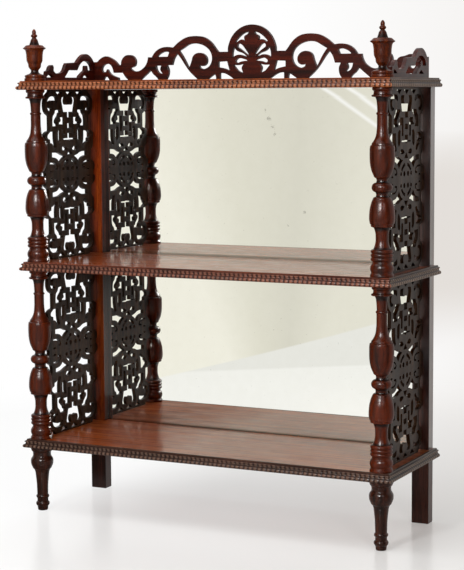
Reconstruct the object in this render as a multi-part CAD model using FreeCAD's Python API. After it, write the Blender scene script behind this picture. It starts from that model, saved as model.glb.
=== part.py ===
import FreeCAD, Part

import math
import os

# A three-tier etagere: three moulded shelves on turned front columns and square rear posts,
# a looking-glass behind each bay, fretwork panels at the ends and a pierced gallery on top.
# Millimetres. +Z is up, the front faces -Y, and the origin is on the floor under the centre
# of the case. Shapes are drawn once for one side and placed on both.

# --- carcass -----------------------------------------------------------------------------
width = 914.0                   # over the side mouldings
depth = 305.0                   # from the front moulding to the back edge
leg_height = 150.0              # floor to the underside of the bottom shelf
bay_height = 393.0              # clear height between two shelves
shelf_thickness = 20.0

# --- shelf moulding ----------------------------------------------------------------------
moulding_thickness = 14.0       # from the board's edge to the nose of the torus
torus_radius = 4.3              # half-round along the lower edge
cove_setback = 5.1              # how far the cove lies behind the torus
small_bead_radius = 1.5         # bead above the cove
lip_setback = 7.5               # how far the top lip lies behind the torus
lip_height = 2.7
bead_step = 0.4                 # ledge that the small bead stands out from
bead_fall = 1.0                 # slope from the bead up to the foot of the lip

# --- turned work -------------------------------------------------------------------------
column_side_inset = 33.2        # column axis, in from the side moulding
column_front_inset = 31.2       # column axis, in from the front moulding
column_radius = 27.2            # at the widest part of a column
leg_radius = 26.3               # at the widest part of a front leg
finial_rim_radius = 25.8        # at the widest step of a finial
finial_height = 117.0
spigot_radius = 8.0             # pin turned on the lower end of a column or finial
socket_depth = 21.0             # hole in the top of the piece below
fit_clearance = 0.1             # round every wooden pin, on the radius
end_clearance = 1.0             # between the end of a pin and the bottom of its hole

# --- rear posts --------------------------------------------------------------------------
post_width = 40.0
post_depth = 27.0
post_side_inset = 17.4          # outer face, in from the side moulding
post_arris = 1.2                # rounding of the front corners
foot_wear = 2.0                 # rounding of the foot of a rear leg
post_dowel_radius = 5.0
post_dowel_depth = 20.0         # into each post or leg
top_dowel_depth = 14.0          # into the underside of the top shelf

# --- looking-glass -----------------------------------------------------------------------
glass_thickness = 3.0
glass_cover = 4.7               # how much of the glass each post covers
back_board_thickness = 4.5
back_board_cover = 12.7         # how much of the board each post covers
sheet_clearance = 0.3           # at the edges of glass and board
pin_radius = 0.8                # panel pins that hold the back boards
pin_length = 14.0
pins_per_side = 4
pin_end_distance = 40.0         # first and last pin, from the ends of the board

# --- fretwork panels ---------------------------------------------------------------------
fret_thickness = 8.5
fret_side_inset = 35.5          # middle of the panel, in from the side moulding
fret_gap = 0.2                  # to the column's bead and to the post
fret_tongue_thickness = 4.0
fret_tongue_height = 2.8
groove_depth = 3.0
groove_clearance = 0.1

# --- gallery -----------------------------------------------------------------------------
gallery_thickness = 9.0
gallery_back_inset = 8.0        # back face, in from the back edge of the shelf
gallery_finial_gap = 0.3
gallery_dowel_radius = 2.5
gallery_dowel_depth = 8.0       # into the gallery and into the shelf
right_arch_drop = 6.5           # the arch at the right-hand corner was sawn lower

# --- places worked out from the sizes above ----------------------------------------------
front_y = -depth / 2
back_y = depth / 2
side_x = width / 2
board_x = side_x - moulding_thickness
board_front_y = front_y + moulding_thickness
column_x = side_x - column_side_inset
column_y = front_y + column_front_inset
post_outer_x = side_x - post_side_inset
post_inner_x = post_outer_x - post_width
post_x = (post_outer_x + post_inner_x) / 2
post_front_y = back_y - post_depth
post_y = (post_front_y + back_y) / 2
bottom_shelf_z = leg_height
middle_shelf_z = bottom_shelf_z + shelf_thickness + bay_height
top_shelf_z = middle_shelf_z + shelf_thickness + bay_height
gallery_z = top_shelf_z + shelf_thickness
gallery_back_y = back_y - gallery_back_inset
gallery_front_y = gallery_back_y - gallery_thickness
gallery_half_length = column_x + gallery_thickness / 2
fret_x = side_x - fret_side_inset
back_board_front_y = back_y - back_board_thickness
glass_front_y = back_board_front_y - glass_thickness

SNAP = 0.01             # two places closer than this are the same
OVERCUT = 1.0           # how far a cut runs past the face that it opens

SIDES = (("left", -1), ("right", 1))
SHELVES = (("bottom", bottom_shelf_z), ("middle", middle_shelf_z), ("top", top_shelf_z))
BAYS = (("lower", bottom_shelf_z + shelf_thickness), ("upper", middle_shelf_z + shelf_thickness))


# --- helpers -----------------------------------------------------------------------------
def vec(x, y, z):
    return FreeCAD.Vector(x, y, z)


def block(x0, x1, y0, y1, z0, z1):
    """Rectangular block between two corners."""
    return Part.makeBox(x1 - x0, y1 - y0, z1 - z0, vec(x0, y0, z0))


def mirrored(shape):
    """The same piece on the other side of the case."""
    return shape.mirror(vec(0, 0, 0), vec(1, 0, 0))


def on_side(shape, sign):
    """A piece drawn for the right-hand side, placed on the side that sign names."""
    return shape if sign > 0 else mirrored(shape)


SHARE_OF_SIDE = 0.49    # how much of a side one corner's arc may take
STRAIGHT = 0.01         # a turn smaller than this many radians is left as it is


def rounded_path(points, default_radius):
    """Closed outline of lines and tangent arcs through the corners in points.

    A corner is (a, b) or (a, b, radius). The radius is cut down where the sides that meet
    there are too short for it, so a large one gives a flowing curve.
    """
    count = len(points)
    corners = [FreeCAD.Vector(p[0], p[1], 0) for p in points]
    radii = [p[2] if len(p) > 2 else default_radius for p in points]
    touches = []
    for i in range(count):
        here = corners[i]
        back = corners[i - 1] - here
        ahead = corners[(i + 1) % count] - here
        reach_limit = SHARE_OF_SIDE * min(back.Length, ahead.Length)
        back.normalize()
        ahead.normalize()
        half_turn = (math.pi - back.getAngle(ahead)) / 2
        reach = min(radii[i] * math.tan(half_turn), reach_limit)
        if reach < SNAP or half_turn < STRAIGHT:
            touches.append((here, None, here))
            continue
        radius = reach / math.tan(half_turn)
        inward = back + ahead
        inward.normalize()
        middle = here + inward * (radius / math.cos(half_turn) - radius)
        touches.append((here + back * reach, middle, here + ahead * reach))
    edges = []
    for i in range(count):
        start, middle, end = touches[i]
        if middle is not None:
            edges.append((start, middle, end))
        following = touches[(i + 1) % count][0]
        if (following - end).Length > SNAP / 1000:
            edges.append((end, following))
    return edges


FLOW = 200.0        # radius for a corner that is part of a flowing curve
TIP = 0.6           # radius at the point of a saw cut
CURVE_STEPS = 5     # corners along a curve that follows a circle


def pierced_panel(outline, holes, place, extrusion):
    """Board cut to an outline and pierced with holes; place turns (a, b) into a point."""
    wires = []
    for loop in [outline] + holes:
        edges = []
        for corner_points in rounded_path(loop, FLOW):
            spots = [place(p.x, p.y) for p in corner_points]
            if len(spots) == 3:
                edges.append(Part.Arc(*spots).toShape())
            else:
                edges.append(Part.LineSegment(*spots).toShape())
        wires.append(Part.Wire(edges))
    return Part.Face(wires, "Part::FaceMakerBullseye").extrude(extrusion)


def drawn_height(profile):
    """Height at which a turned profile is drawn."""
    return profile[-1][0]


def drawn_radius(profile):
    """Radius of the widest step of a turned profile, as drawn."""
    return max(step[1] for step in profile)


def turned(profile, height, radius):
    """Turned piece standing on the XY plane, drawn out to a height and a widest radius.

    Each step of the profile is (height, radius, bulge). The bulge is how far the curve that
    leads to it swells out of the straight line, and a hollow is negative.
    """
    up = height / drawn_height(profile)
    out = radius / drawn_radius(profile)
    spots = [vec(r * out, 0, z * up) for z, r, bulge in profile]
    edges = [Part.LineSegment(vec(0, 0, 0), spots[0]).toShape()]
    for i in range(1, len(profile)):
        start = spots[i - 1]
        end = spots[i]
        bulge = profile[i][2] * out
        if abs(bulge) < SNAP:
            edges.append(Part.LineSegment(start, end).toShape())
            continue
        along = end - start
        outward = vec(along.z, 0, -along.x)
        outward.normalize()
        edges.append(Part.Arc(start, (start + end) * 0.5 + outward * bulge, end).toShape())
    edges.append(Part.LineSegment(spots[-1], vec(0, 0, height)).toShape())
    edges.append(Part.LineSegment(vec(0, 0, height), vec(0, 0, 0)).toShape())
    face = Part.Face(Part.Wire(edges))
    return face.revolve(vec(0, 0, 0), vec(0, 0, 1), 360)


def pin(radius, length, x, y, z):
    """Upright round pin whose lower end is at (x, y, z)."""
    return Part.makeCylinder(radius, length, vec(x, y, z))


def save(name, shape):
    """Write one node; a group of loose solids is written as a compound."""
    shape.exportStep("parts/" + name + ".step")


# --- shelves and mouldings ---------------------------------------------------------------
def fret_span():
    """Front end, back end of a fretwork panel: from the column's bead to the post."""
    bead_y = column_y + COLUMN_BEAD_RADIUS * column_radius / drawn_radius(COLUMN_PROFILE)
    return bead_y + fret_gap, post_front_y - fret_gap


def tongue_span():
    """Stretch of the panel's top and bottom edge that carries a tongue."""
    start, end = fret_span()
    middle = (start + end) / 2
    half = FRET_CONTACT * (end - start) / (2 * FRET_DRAWN_HALF_WIDTH)
    return middle - half, middle + half


def shelf_board(name, z):
    """Board with through holes for the turned spigots, dowel holes and fret grooves."""
    board = block(-board_x, board_x, board_front_y, back_y, z, z + shelf_thickness)
    cuts = []
    groove_start, groove_end = tongue_span()
    groove_half = fret_tongue_thickness / 2 + groove_clearance
    for side, sign in SIDES:
        x = sign * column_x
        cuts.append(pin(spigot_radius + fit_clearance, shelf_thickness, x, column_y, z))
        hole_depth = top_dowel_depth + end_clearance if name == "top" else shelf_thickness
        cuts.append(pin(post_dowel_radius + fit_clearance, hole_depth, sign * post_x, post_y, z))
        levels = []
        if name != "bottom":
            levels.append((z, z + groove_depth))
        if name != "top":
            levels.append((z + shelf_thickness - groove_depth, z + shelf_thickness))
        for low, high in levels:
            cuts.append(block(sign * fret_x - groove_half, sign * fret_x + groove_half,
                              groove_start - groove_clearance, groove_end + groove_clearance,
                              low, high))
    if name == "top":
        for x, y in gallery_dowel_places():
            cuts.append(pin(gallery_dowel_radius + fit_clearance,
                            gallery_dowel_depth + end_clearance,
                            x, y, gallery_z - gallery_dowel_depth - end_clearance))
    return board.cut(cuts)


def moulding_profile(place):
    """Section of the shelf moulding: torus, cove, small bead and top lip.

    place turns (distance out from the board, height above its underside) into a point.
    """
    nose = moulding_thickness
    torus_back = nose - torus_radius
    cove_out = nose - cove_setback
    bead_top = shelf_thickness - lip_height - bead_fall
    bead_bottom = bead_top - 2 * small_bead_radius
    lip_out = nose - lip_setback
    edges = [
        Part.LineSegment(place(0, 0), place(torus_back, 0)).toShape(),
        Part.Arc(place(torus_back, 0), place(nose, torus_radius),
                 place(torus_back, 2 * torus_radius)).toShape(),
        Part.Arc(place(torus_back, 2 * torus_radius),
                 place(cove_out, (2 * torus_radius + bead_bottom) / 2),
                 place(cove_out + bead_step, bead_bottom)).toShape(),
        Part.Arc(place(cove_out + bead_step, bead_bottom),
                 place(cove_out + bead_step + small_bead_radius, bead_bottom + small_bead_radius),
                 place(cove_out + bead_step, bead_top)).toShape(),
        Part.LineSegment(place(cove_out + bead_step, bead_top),
                         place(lip_out, shelf_thickness - lip_height)).toShape(),
        Part.LineSegment(place(lip_out, shelf_thickness - lip_height),
                         place(lip_out, shelf_thickness)).toShape(),
        Part.LineSegment(place(lip_out, shelf_thickness), place(0, shelf_thickness)).toShape(),
        Part.LineSegment(place(0, shelf_thickness), place(0, 0)).toShape(),
    ]
    return Part.Face(Part.Wire(edges))


def mitre_prism(corners, z):
    """Upright prism over a plan outline, as tall as a shelf."""
    spots = [vec(x, y, z) for x, y in corners]
    return Part.Face(Part.makePolygon(spots + spots[:1])).extrude(vec(0, 0, shelf_thickness))


def front_moulding(z):
    """Front moulding, mitred at both ends."""
    section = moulding_profile(lambda out, up: vec(-side_x, board_front_y - out, z + up))
    strip = section.extrude(vec(width, 0, 0))
    plan = ((-side_x, front_y), (side_x, front_y), (board_x, board_front_y),
            (-board_x, board_front_y))
    return strip.common(mitre_prism(plan, z))


def side_moulding(z):
    """Right-hand moulding, mitred at the front and square at the back."""
    section = moulding_profile(lambda out, up: vec(board_x + out, front_y, z + up))
    strip = section.extrude(vec(0, depth, 0))
    plan = ((side_x, front_y), (side_x, back_y), (board_x, back_y), (board_x, board_front_y))
    return strip.common(mitre_prism(plan, z))


# --- turned columns, legs and finials ----------------------------------------------------
COLUMN_BEAD_RADIUS = 22.3       # bead at half height, next to which the fretwork ends

COLUMN_PROFILE = (
    (0, 24.8, 0), (4.5, 24.8, 0.3), (8, 22.6, 0), (9.5, 22.6, 0),       # foot
    (28, 20.4, 3.4), (32, 19.9, 0), (33, 21.2, 0),                      # torus and fillet
    (41.2, 21.4, 2.7), (49.4, 21.4, 2.5), (57, 21.2, 2.6),              # three rings
    (58, 18.2, 0), (76, 13.4, -0.9), (88, 13.5, 0), (102.5, 17.4, -0.6),    # lower neck
    (105, 23.4, 0), (109.6, 23.8, 0), (110.4, 25.2, 0),                 # shoulder of the lower vase
    (122, 27.2, 0.4), (135, 26.6, 0.2), (150, 24.0, 0.5),
    (162, 19.6, 0.5), (166, 16.9, 0.5), (167.2, 13.4, 0),
    (172, 12.6, -0.2), (176, 14.2, -0.3), (177.3, 16.8, 0),
    (195.3, 16.8, COLUMN_BEAD_RADIUS - 16.8), (196.6, 13.0, 0),         # bead
    (201, 11.7, -0.2), (205, 12.9, -0.2), (207.4, 16.6, 0),             # upper vase
    (211.5, 18.4, 0.1), (223, 23.1, 0.3), (240, 26.0, 0.4), (262, 26.3, 0.2),
    (272.5, 25.2, 0.4), (274, 22.6, 0), (277.5, 22.0, 0),               # its shoulder
    (302, 12.2, -2.3), (316, 11.3, -0.2), (336, 11.2, 0),               # long neck
    (341.6, 11.0, 1.9), (342, 10.6, 0), (348, 10.9, 0),                 # small ring
    (364, 12.2, -0.2), (372.6, 15.2, -0.5), (373.4, 21.6, 0),           # cup
    (377.2, 21.6, 1.1), (378.2, 18.8, 0), (385, 18.2, -0.2),            # ring and cap
    (387.4, 21.2, 0), (393, 21.0, 0.4),
)


def column():
    """One turned column with its spigot below and its socket above, foot at z = 0."""
    return with_spigot(turned(COLUMN_PROFILE, bay_height, column_radius), bay_height)


def with_spigot(body, socket_top=None):
    """Add the spigot that passes through the shelf into the piece below."""
    length = shelf_thickness + socket_depth - end_clearance
    piece = body.fuse(pin(spigot_radius, length, 0, 0, -length)).removeSplitter()
    if socket_top is not None:
        piece = piece.cut(socket(socket_top))
    return piece


def socket(top):
    """Hole in the top of a turned piece for the spigot from above."""
    return pin(spigot_radius + fit_clearance, socket_depth, 0, 0, top - socket_depth)


LEG_PROFILE = (
    (0, 10.2, 0), (3, 11.8, 0.4), (9, 12.2, 0), (10.5, 13.4, 0),        # toe
    (20, 14.4, 1.9), (21, 12.6, 0), (28, 12.6, 0), (29.5, 13.4, 0),     # lower ring
    (36.5, 13.4, 1.8), (37.5, 12.7, 0), (60, 13.3, 0),                  # upper ring
    (88, 16.0, -0.2), (97.5, 19.0, -0.5), (99.5, 21.2, 0),              # vase
    (104, 23.2, 0.2), (115, 26.1, 0.8), (125.5, 23.4, 1.2), (128.5, 21.6, 0),
    (134, 20.9, -0.3), (138, 21.3, 0), (141, 24.0, -0.3),
    (143.5, 24.6, 0), (145, 25.6, 0), (150, 25.6, 0.3),                 # collar
)


def front_leg():
    """Turned front leg with the socket for the column above, foot at z = 0."""
    return turned(LEG_PROFILE, leg_height, leg_radius).cut(socket(leg_height))


FINIAL_BASE_RADIUS = 24.0
FINIAL_PROFILE = (
    (0, 23.6, 0), (6, 23.6, FINIAL_BASE_RADIUS - 23.6),                 # base ring
    (6.6, 21.5, 0), (7.6, 21.5, 0), (8.2, 22.6, 0), (13, 22.6, 0.3),
    (15, 17.0, -0.3), (19.5, 9.2, -0.9), (24, 8.6, -0.2),               # stem
    (30.5, 13.5, 0), (32, 14.1, 0.1), (38.5, 14.8, 0),
    (45.5, 18.0, 0.1), (58, 18.7, 0.1), (66, 19.9, -0.1), (70, 21.4, -0.2),     # bowl of the cup
    (72.6, 25.4, 0), (74.6, 25.8, 0.3), (75.6, 23.6, 0),                # rim
    (80.4, 18.4, 0.3), (81.2, 11.6, 0), (92.5, 7.9, -0.2), (97.5, 4.3, 0),      # cap
    (98.3, 5.2, 0), (105, 4.9, 2.3), (106, 4.4, 0),                     # knob
    (110.5, 4.6, 0.2), (117, 0.4, 0.9),                                 # bud
)


def finial():
    """Turned finial whose spigot passes through the top shelf, base at z = 0."""
    return with_spigot(turned(FINIAL_PROFILE, finial_height, finial_rim_radius))


# --- rear posts --------------------------------------------------------------------------
def rear_post(z, height):
    """Square post, rebated behind for the glass and for the back board."""
    post = block(post_inner_x, post_outer_x, post_front_y, back_y, z, z + height)
    arrises = [edge for edge in post.Edges
               if abs(edge.BoundBox.YMax - post_front_y) < SNAP and edge.BoundBox.ZLength > SNAP]
    post = post.makeFillet(post_arris, arrises)
    glass_edge = post_inner_x + glass_cover + sheet_clearance
    board_edge = post_inner_x + back_board_cover + sheet_clearance
    return post.cut([
        block(post_inner_x - OVERCUT, glass_edge, glass_front_y, back_y + OVERCUT,
              z, z + height),
        block(post_inner_x - OVERCUT, board_edge, back_board_front_y, back_y + OVERCUT,
              z, z + height),
        dowel_hole(z),
        dowel_hole(z + height - post_dowel_depth - end_clearance),
    ] + pin_holes(z, height))


def dowel_hole(low):
    """Hole for a rear dowel in a post or leg, from low upwards."""
    return pin(post_dowel_radius + fit_clearance, post_dowel_depth + end_clearance,
               post_x, post_y, low)


def rear_leg():
    """Square rear leg, worn round at the foot."""
    leg = block(post_inner_x, post_outer_x, post_front_y, back_y, 0, leg_height)
    upright = [edge for edge in leg.Edges
               if abs(edge.BoundBox.YMax - post_front_y) < SNAP and edge.BoundBox.ZLength > SNAP]
    leg = leg.makeFillet(post_arris, upright)
    toe = [edge for edge in leg.Edges if edge.BoundBox.ZMax < SNAP]
    leg = leg.makeFillet(foot_wear, toe)
    return leg.cut(dowel_hole(leg_height - post_dowel_depth - end_clearance))


def post_dowels():
    """Dowels that join leg, shelf and posts at the two rear corners."""
    dowels = []
    for side, sign in SIDES:
        for name, z in SHELVES:
            above = post_dowel_depth if name != "top" else top_dowel_depth - shelf_thickness
            length = post_dowel_depth + shelf_thickness + above
            dowels.append(pin(post_dowel_radius, length, sign * post_x, post_y,
                              z - post_dowel_depth))
    return Part.Compound(dowels)


# --- looking-glass -----------------------------------------------------------------------
def mirror_glass(z):
    """Silvered glass, standing on the shelf behind the posts."""
    half = post_inner_x + glass_cover
    return block(-half, half, glass_front_y, back_board_front_y,
                 z, z + bay_height - sheet_clearance)


def back_board(z):
    """Thin board behind the glass, pinned to the posts."""
    half = post_inner_x + back_board_cover
    board = block(-half, half, back_board_front_y, back_y, z, z + bay_height - sheet_clearance)
    holes = pin_holes(z, bay_height)
    return board.cut(holes + [mirrored(hole) for hole in holes])


def pin_places(z, height):
    """Points on the back face where the right-hand row of panel pins goes in."""
    glass_edge = post_inner_x + glass_cover
    x = (glass_edge + post_inner_x + back_board_cover) / 2
    step = (height - 2 * pin_end_distance) / (pins_per_side - 1)
    return [(x, z + pin_end_distance + i * step) for i in range(pins_per_side)]


def panel_pin(radius, x, z):
    """Pin driven forwards from the back face."""
    return Part.makeCylinder(radius, pin_length, vec(x, back_y, z), vec(0, -1, 0))


def pin_holes(z, height):
    return [panel_pin(pin_radius + fit_clearance / 2, x, zz) for x, zz in pin_places(z, height)]


def back_board_pins():
    """All panel pins of both back boards."""
    pins = []
    for bay, z in BAYS:
        for x, zz in pin_places(z, bay_height):
            pins.append(panel_pin(pin_radius, x, zz))
            pins.append(panel_pin(pin_radius, -x, zz))
    return Part.Compound(pins)


# --- fretwork ----------------------------------------------------------------------------
# The panel is the same to the front and the back of its middle and above and below it, so
# one quarter is drawn: a runs from the middle to the front edge, b from the middle upwards.
FRET_CONTACT = 83.0             # half of the stretch that meets the shelf

FRET_EDGE = (
    (104.0, 0.0), (106.0, 5.0), (112.0, 9.0, 3), (112.0, 20.0), (105.0, 26.5), (96.0, 31.0),
    (92.8, 36.0), (92.8, 49.0), (97.0, 55.0), (104.0, 60.0), (106.3, 70.0), (106.3, 86.0),
    (109.0, 93.0, 2), (99.0, 100.5), (86.0, 102.0, 3), (86.0, 136.5, 3), (98.0, 142.0),
    (105.8, 153.0), (105.8, 173.0), (96.0, 185.0), (84.0, 192.0),
    (FRET_CONTACT, 196.5, 0),
)
FRET_DRAWN_HALF_WIDTH = max(corner[0] for corner in FRET_EDGE)
FRET_DRAWN_HALF_HEIGHT = FRET_EDGE[-1][1]

CORNER_CRESCENT = (
    (52.5, 166.5, TIP), (50.0, 173.0), (54.0, 180.5), (70.0, 182.0), (84.0, 180.5), (94.5, 172.0),
    (96.0, 158.0), (91.0, 149.0), (84.0, 146.5), (73.5, 148.5, 1), (73.5, 153.0, 1),
    (82.0, 154.5), (86.5, 161.0), (84.5, 168.0), (76.0, 172.0), (63.0, 172.0),
)

BRACKET_SLIT = (
    (36.5, 144.0, 1), (36.5, 149.0, 1), (46.0, 150.5), (61.0, 149.0, 2), (64.5, 140.5),
    (71.5, 136.5), (73.5, 127.0), (73.5, 112.0, 1), (49.0, 112.5, 1), (49.0, 116.0, 1),
    (56.0, 120.0), (56.0, 126.0), (49.0, 132.0), (43.0, 137.5), (42.0, 142.5),
)

STEM_OPENING = (
    (18.0, 132.5, 1), (41.0, 132.5, 1), (38.0, 128.0), (38.0, 123.0), (45.5, 120.0, 1),
    (45.0, 117.0, 1), (27.0, 116.0, 1), (27.0, 93.0, 2), (18.0, 93.0, 2),
)

SIDE_SLIT = ((41.0, 107.0, 2), (50.2, 101.0), (50.2, 78.0), (44.0, 70.5, 1), (35.5, 78.0),
             (35.5, 98.0), (34.0, 104.0, 1))

VOLUTE_OPENING = (
    (62.5, 100.0, 1), (83.0, 100.0, 1), (95.5, 92.0), (95.5, 85.0), (85.0, 82.0, 1),
    (84.0, 74.0, 1), (76.0, 73.0), (69.0, 66.0), (64.5, 60.5, 1), (56.5, 63.0, 1),
    (60.0, 72.0), (62.5, 83.0),
)

TEARDROP = ((10.0, 58.0, TIP), (17.0, 54.5), (30.0, 54.5), (35.0, 61.0), (28.0, 66.5), (17.0, 64.0))

SAIL_OPENING = (
    (19.0, 41.5, TIP), (33.0, 44.5), (43.0, 49.0), (54.0, 51.0), (77.5, 51.5, 1),
    (77.5, 41.0, 1), (65.0, 40.0), (54.0, 36.0), (42.5, 23.5, 1), (33.0, 35.0),
)

SCROLL_SLIT = (
    (87.0, 25.0, 1), (87.0, 28.5, 1), (70.0, 29.0), (57.0, 24.0), (52.0, 14.0), (60.0, 9.5),
    (68.0, 12.0, 1), (66.0, 15.5, 1), (60.0, 14.5), (57.5, 18.0), (62.0, 23.0), (72.0, 25.0),
)

SCROLL_EYE = ((75.0, 8.0, 1), (82.0, 11.0), (88.0, 8.0, 1), (82.0, 5.0))


# Slits that follow a ring about the middle, and the round holes inside it.
RING_RADIUS = 33.5
RING_SLIT_WIDTH = 7.0
RING_SLIT_START = 12.0          # degrees from upright
RING_SLIT_END = 54.0
LARGE_HOLE_RADIUS = 5.6
SMALL_HOLE_RADIUS = 4.2
HOLE_HEIGHT = 12.7
LARGE_HOLE_PLACE = 11.0
SMALL_HOLE_PLACE = 30.0


def slit_along_arc(radius, slit_width, first, last, steps):
    """Corners of a slit that follows a circle about the middle, angles from upright."""
    half = slit_width / 2
    swing = [math.radians(first + (last - first) * i / (steps - 1)) for i in range(steps)]
    outer = [((radius + half) * math.sin(t), (radius + half) * math.cos(t)) for t in swing]
    inner = [((radius - half) * math.sin(t), (radius - half) * math.cos(t)) for t in swing]
    loop = outer + inner[::-1]
    for i in (0, steps - 1, steps, 2 * steps - 1):
        loop[i] = loop[i] + (1.0,)
    return loop


def round_hole(a, b, radius):
    """Corners of a square that rounds off to a circle."""
    return ((a - radius, b - radius, radius), (a + radius, b - radius, radius),
            (a + radius, b + radius, radius), (a - radius, b + radius, radius))


# Openings on the upright middle line, drawn as their right half from top to bottom.
PENDANT_OPENING = (
    (0.0, 164.0), (5.0, 161.5), (12.0, 161.5), (16.0, 167.0), (16.0, 174.0), (12.5, 179.5, TIP),
    (30.5, 179.5), (34.0, 173.0), (31.5, 164.0), (26.0, 145.0, 1), (9.0, 145.0, 1),
    (9.0, 132.0, 1),
)
KEYSTONE_OPENING = ((0.0, 119.0), (8.8, 118.5, 2), (9.2, 107.0, 2))
TEE_OPENING = ((8.8, 95.5, 1), (8.8, 83.6, 1), (26.8, 83.2, 1), (26.8, 80.4, 1), (6.0, 80.2),
               (0.0, 77.0, 1))
SMALL_TRIANGLE = ((0.0, 58.0, 1), (11.5, 45.5, 1))
TOP_TRIANGLE_HALF_WIDTH = 14.5
TOP_TRIANGLE_SPACING = 43.5


def flipped(loop, sign_a, sign_b):
    """The same corners mirrored into another quarter."""
    return [(sign_a * p[0], sign_b * p[1]) + tuple(p[2:]) for p in loop]


def whole(half_loop):
    """Close a loop that is drawn as its right half."""
    left = [p for p in flipped(half_loop, -1, 1) if abs(p[0]) > SNAP]
    return list(half_loop) + left[::-1]


def top_triangle(middle):
    """One of the row of small openings next to the shelf."""
    return ((middle - TOP_TRIANGLE_HALF_WIDTH, 191.5, 1),
            (middle + TOP_TRIANGLE_HALF_WIDTH, 191.5, 1), (middle, 181.8, 2))


def fret_holes():
    """All openings of a panel."""
    quarter = [CORNER_CRESCENT, BRACKET_SLIT, STEM_OPENING, SIDE_SLIT, VOLUTE_OPENING, TEARDROP,
               SAIL_OPENING, SCROLL_SLIT, SCROLL_EYE, top_triangle(TOP_TRIANGLE_SPACING),
               slit_along_arc(RING_RADIUS, RING_SLIT_WIDTH, RING_SLIT_START, RING_SLIT_END,
                              CURVE_STEPS),
               round_hole(LARGE_HOLE_PLACE, HOLE_HEIGHT, LARGE_HOLE_RADIUS),
               round_hole(SMALL_HOLE_PLACE, HOLE_HEIGHT, SMALL_HOLE_RADIUS)]
    middle = [whole(PENDANT_OPENING), whole(KEYSTONE_OPENING), whole(TEE_OPENING),
              whole(SMALL_TRIANGLE), top_triangle(0.0)]
    holes = []
    for loop in quarter:
        for sign_a in (1, -1):
            for sign_b in (1, -1):
                holes.append(flipped(loop, sign_a, sign_b))
    for loop in middle:
        holes.append(flipped(loop, 1, 1))
        holes.append(flipped(loop, 1, -1))
    return holes


def fret_outline():
    """Outer edge of a panel, all the way round."""
    edge = list(FRET_EDGE)
    upper = edge + flipped(edge[::-1], -1, 1)
    lower = flipped(upper[::-1], 1, -1)
    return upper + lower[1:-1]


def fret_panel(z):
    """Fretwork panel of the right-hand end, with a tongue along its top and its bottom."""
    start, end = fret_span()
    middle_y = (start + end) / 2
    across = (end - start) / (2 * FRET_DRAWN_HALF_WIDTH)
    upwards = bay_height / (2 * FRET_DRAWN_HALF_HEIGHT)
    middle_z = z + bay_height / 2
    inner_x = fret_x - fret_thickness / 2

    def place(a, b):
        return vec(inner_x, middle_y - a * across, middle_z + b * upwards)

    panel = pierced_panel(fret_outline(), fret_holes(), place, vec(fret_thickness, 0, 0))
    tongue_start, tongue_end = tongue_span()
    half = fret_tongue_thickness / 2
    tongues = [block(fret_x - half, fret_x + half, tongue_start, tongue_end, low, high)
               for low, high in ((z - fret_tongue_height, z),
                                 (z + bay_height, z + bay_height + fret_tongue_height))]
    return panel.fuse(tongues).removeSplitter()


# --- gallery -----------------------------------------------------------------------------
# The back gallery is drawn as its right half: distance from the middle, height on the shelf.
ARCH_RADIUS = 61.0
ARCH_CENTRE_HEIGHT = 65.0
CORNER_ARCH_PLACES = (401.0, 388.0, 374.0)      # corners along the top of the corner arch


def arch_corners(radius, centre_height, steps):
    """Corners outside a quarter circle whose tangent arcs make the round of the arch."""
    step = math.pi / 2 / steps
    reach = radius / math.cos(step / 2)
    return [(reach * math.cos(step * (i + 0.5)), centre_height + reach * math.sin(step * (i + 0.5)))
            for i in range(steps)]


GALLERY_TOP = (
    (428.3, 46.0, 0), (413.0, 46.0, 2), (401.0, 56.0), (388.0, 60.5),
    (374.0, 55.0), (362.0, 47.5), (353.0, 37.5, 3), (347.0, 38.0, 2), (345.0, 51.0),
    (334.0, 61.5), (315.0, 61.5), (305.0, 49.0), (307.5, 36.0), (314.0, 32.0), (322.0, 30.5, 1),
    (312.0, 22.5), (296.0, 22.5), (280.0, 34.0), (274.0, 46.0), (272.5, 55.5, 1),
    (262.5, 55.0, 1), (254.0, 67.5), (240.0, 76.5), (222.0, 79.5), (205.0, 77.0, 2),
    (191.0, 89.0), (171.0, 100.5), (147.0, 103.5), (122.0, 100.5), (103.0, 87.0),
    (92.0, 72.0), (86.0, 65.0, 1), (ARCH_RADIUS, ARCH_CENTRE_HEIGHT, 0),
)

GALLERY_BOTTOM = (
    (43.0, 0.0, 0), (60.0, 11.5), (71.0, 16.0), (82.0, 16.0, 1), (82.0, 0.0, 0),
    (92.0, 0.0, 0), (92.0, 8.0), (95.0, 14.5, 1), (104.0, 9.0), (117.0, 0.0, 0),
    (138.0, 0.0, 0), (151.0, 11.0), (162.0, 21.0), (172.0, 34.0), (184.0, 51.5),
    (194.0, 63.0, 1), (203.0, 52.0), (207.7, 36.0, 1), (222.0, 36.0, 1), (216.5, 25.0),
    (218.5, 10.0), (226.0, 0.0, 0), (243.0, 0.0, 0), (251.0, 9.5), (259.0, 15.0),
    (265.5, 25.0, 1), (275.0, 17.0), (296.0, 0.0, 0), (324.0, 0.0, 0), (334.0, 8.0),
    (342.0, 19.5, 2), (367.0, 19.5, 2), (370.0, 32.0), (377.0, 41.0), (391.0, 41.0),
    (400.0, 32.0), (399.0, 22.0), (389.0, 20.5), (384.8, 29.5, 1), (378.0, 18.0),
    (368.0, 12.5), (354.0, 8.0, 2), (353.0, 0.0, 0), (378.0, 0.0, 0), (383.0, 10.0),
    (392.0, 11.0), (397.0, 0.0, 0), (428.3, 0.0, 0),
)
GALLERY_DRAWN_HALF_LENGTH = GALLERY_BOTTOM[-1][0]

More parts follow.
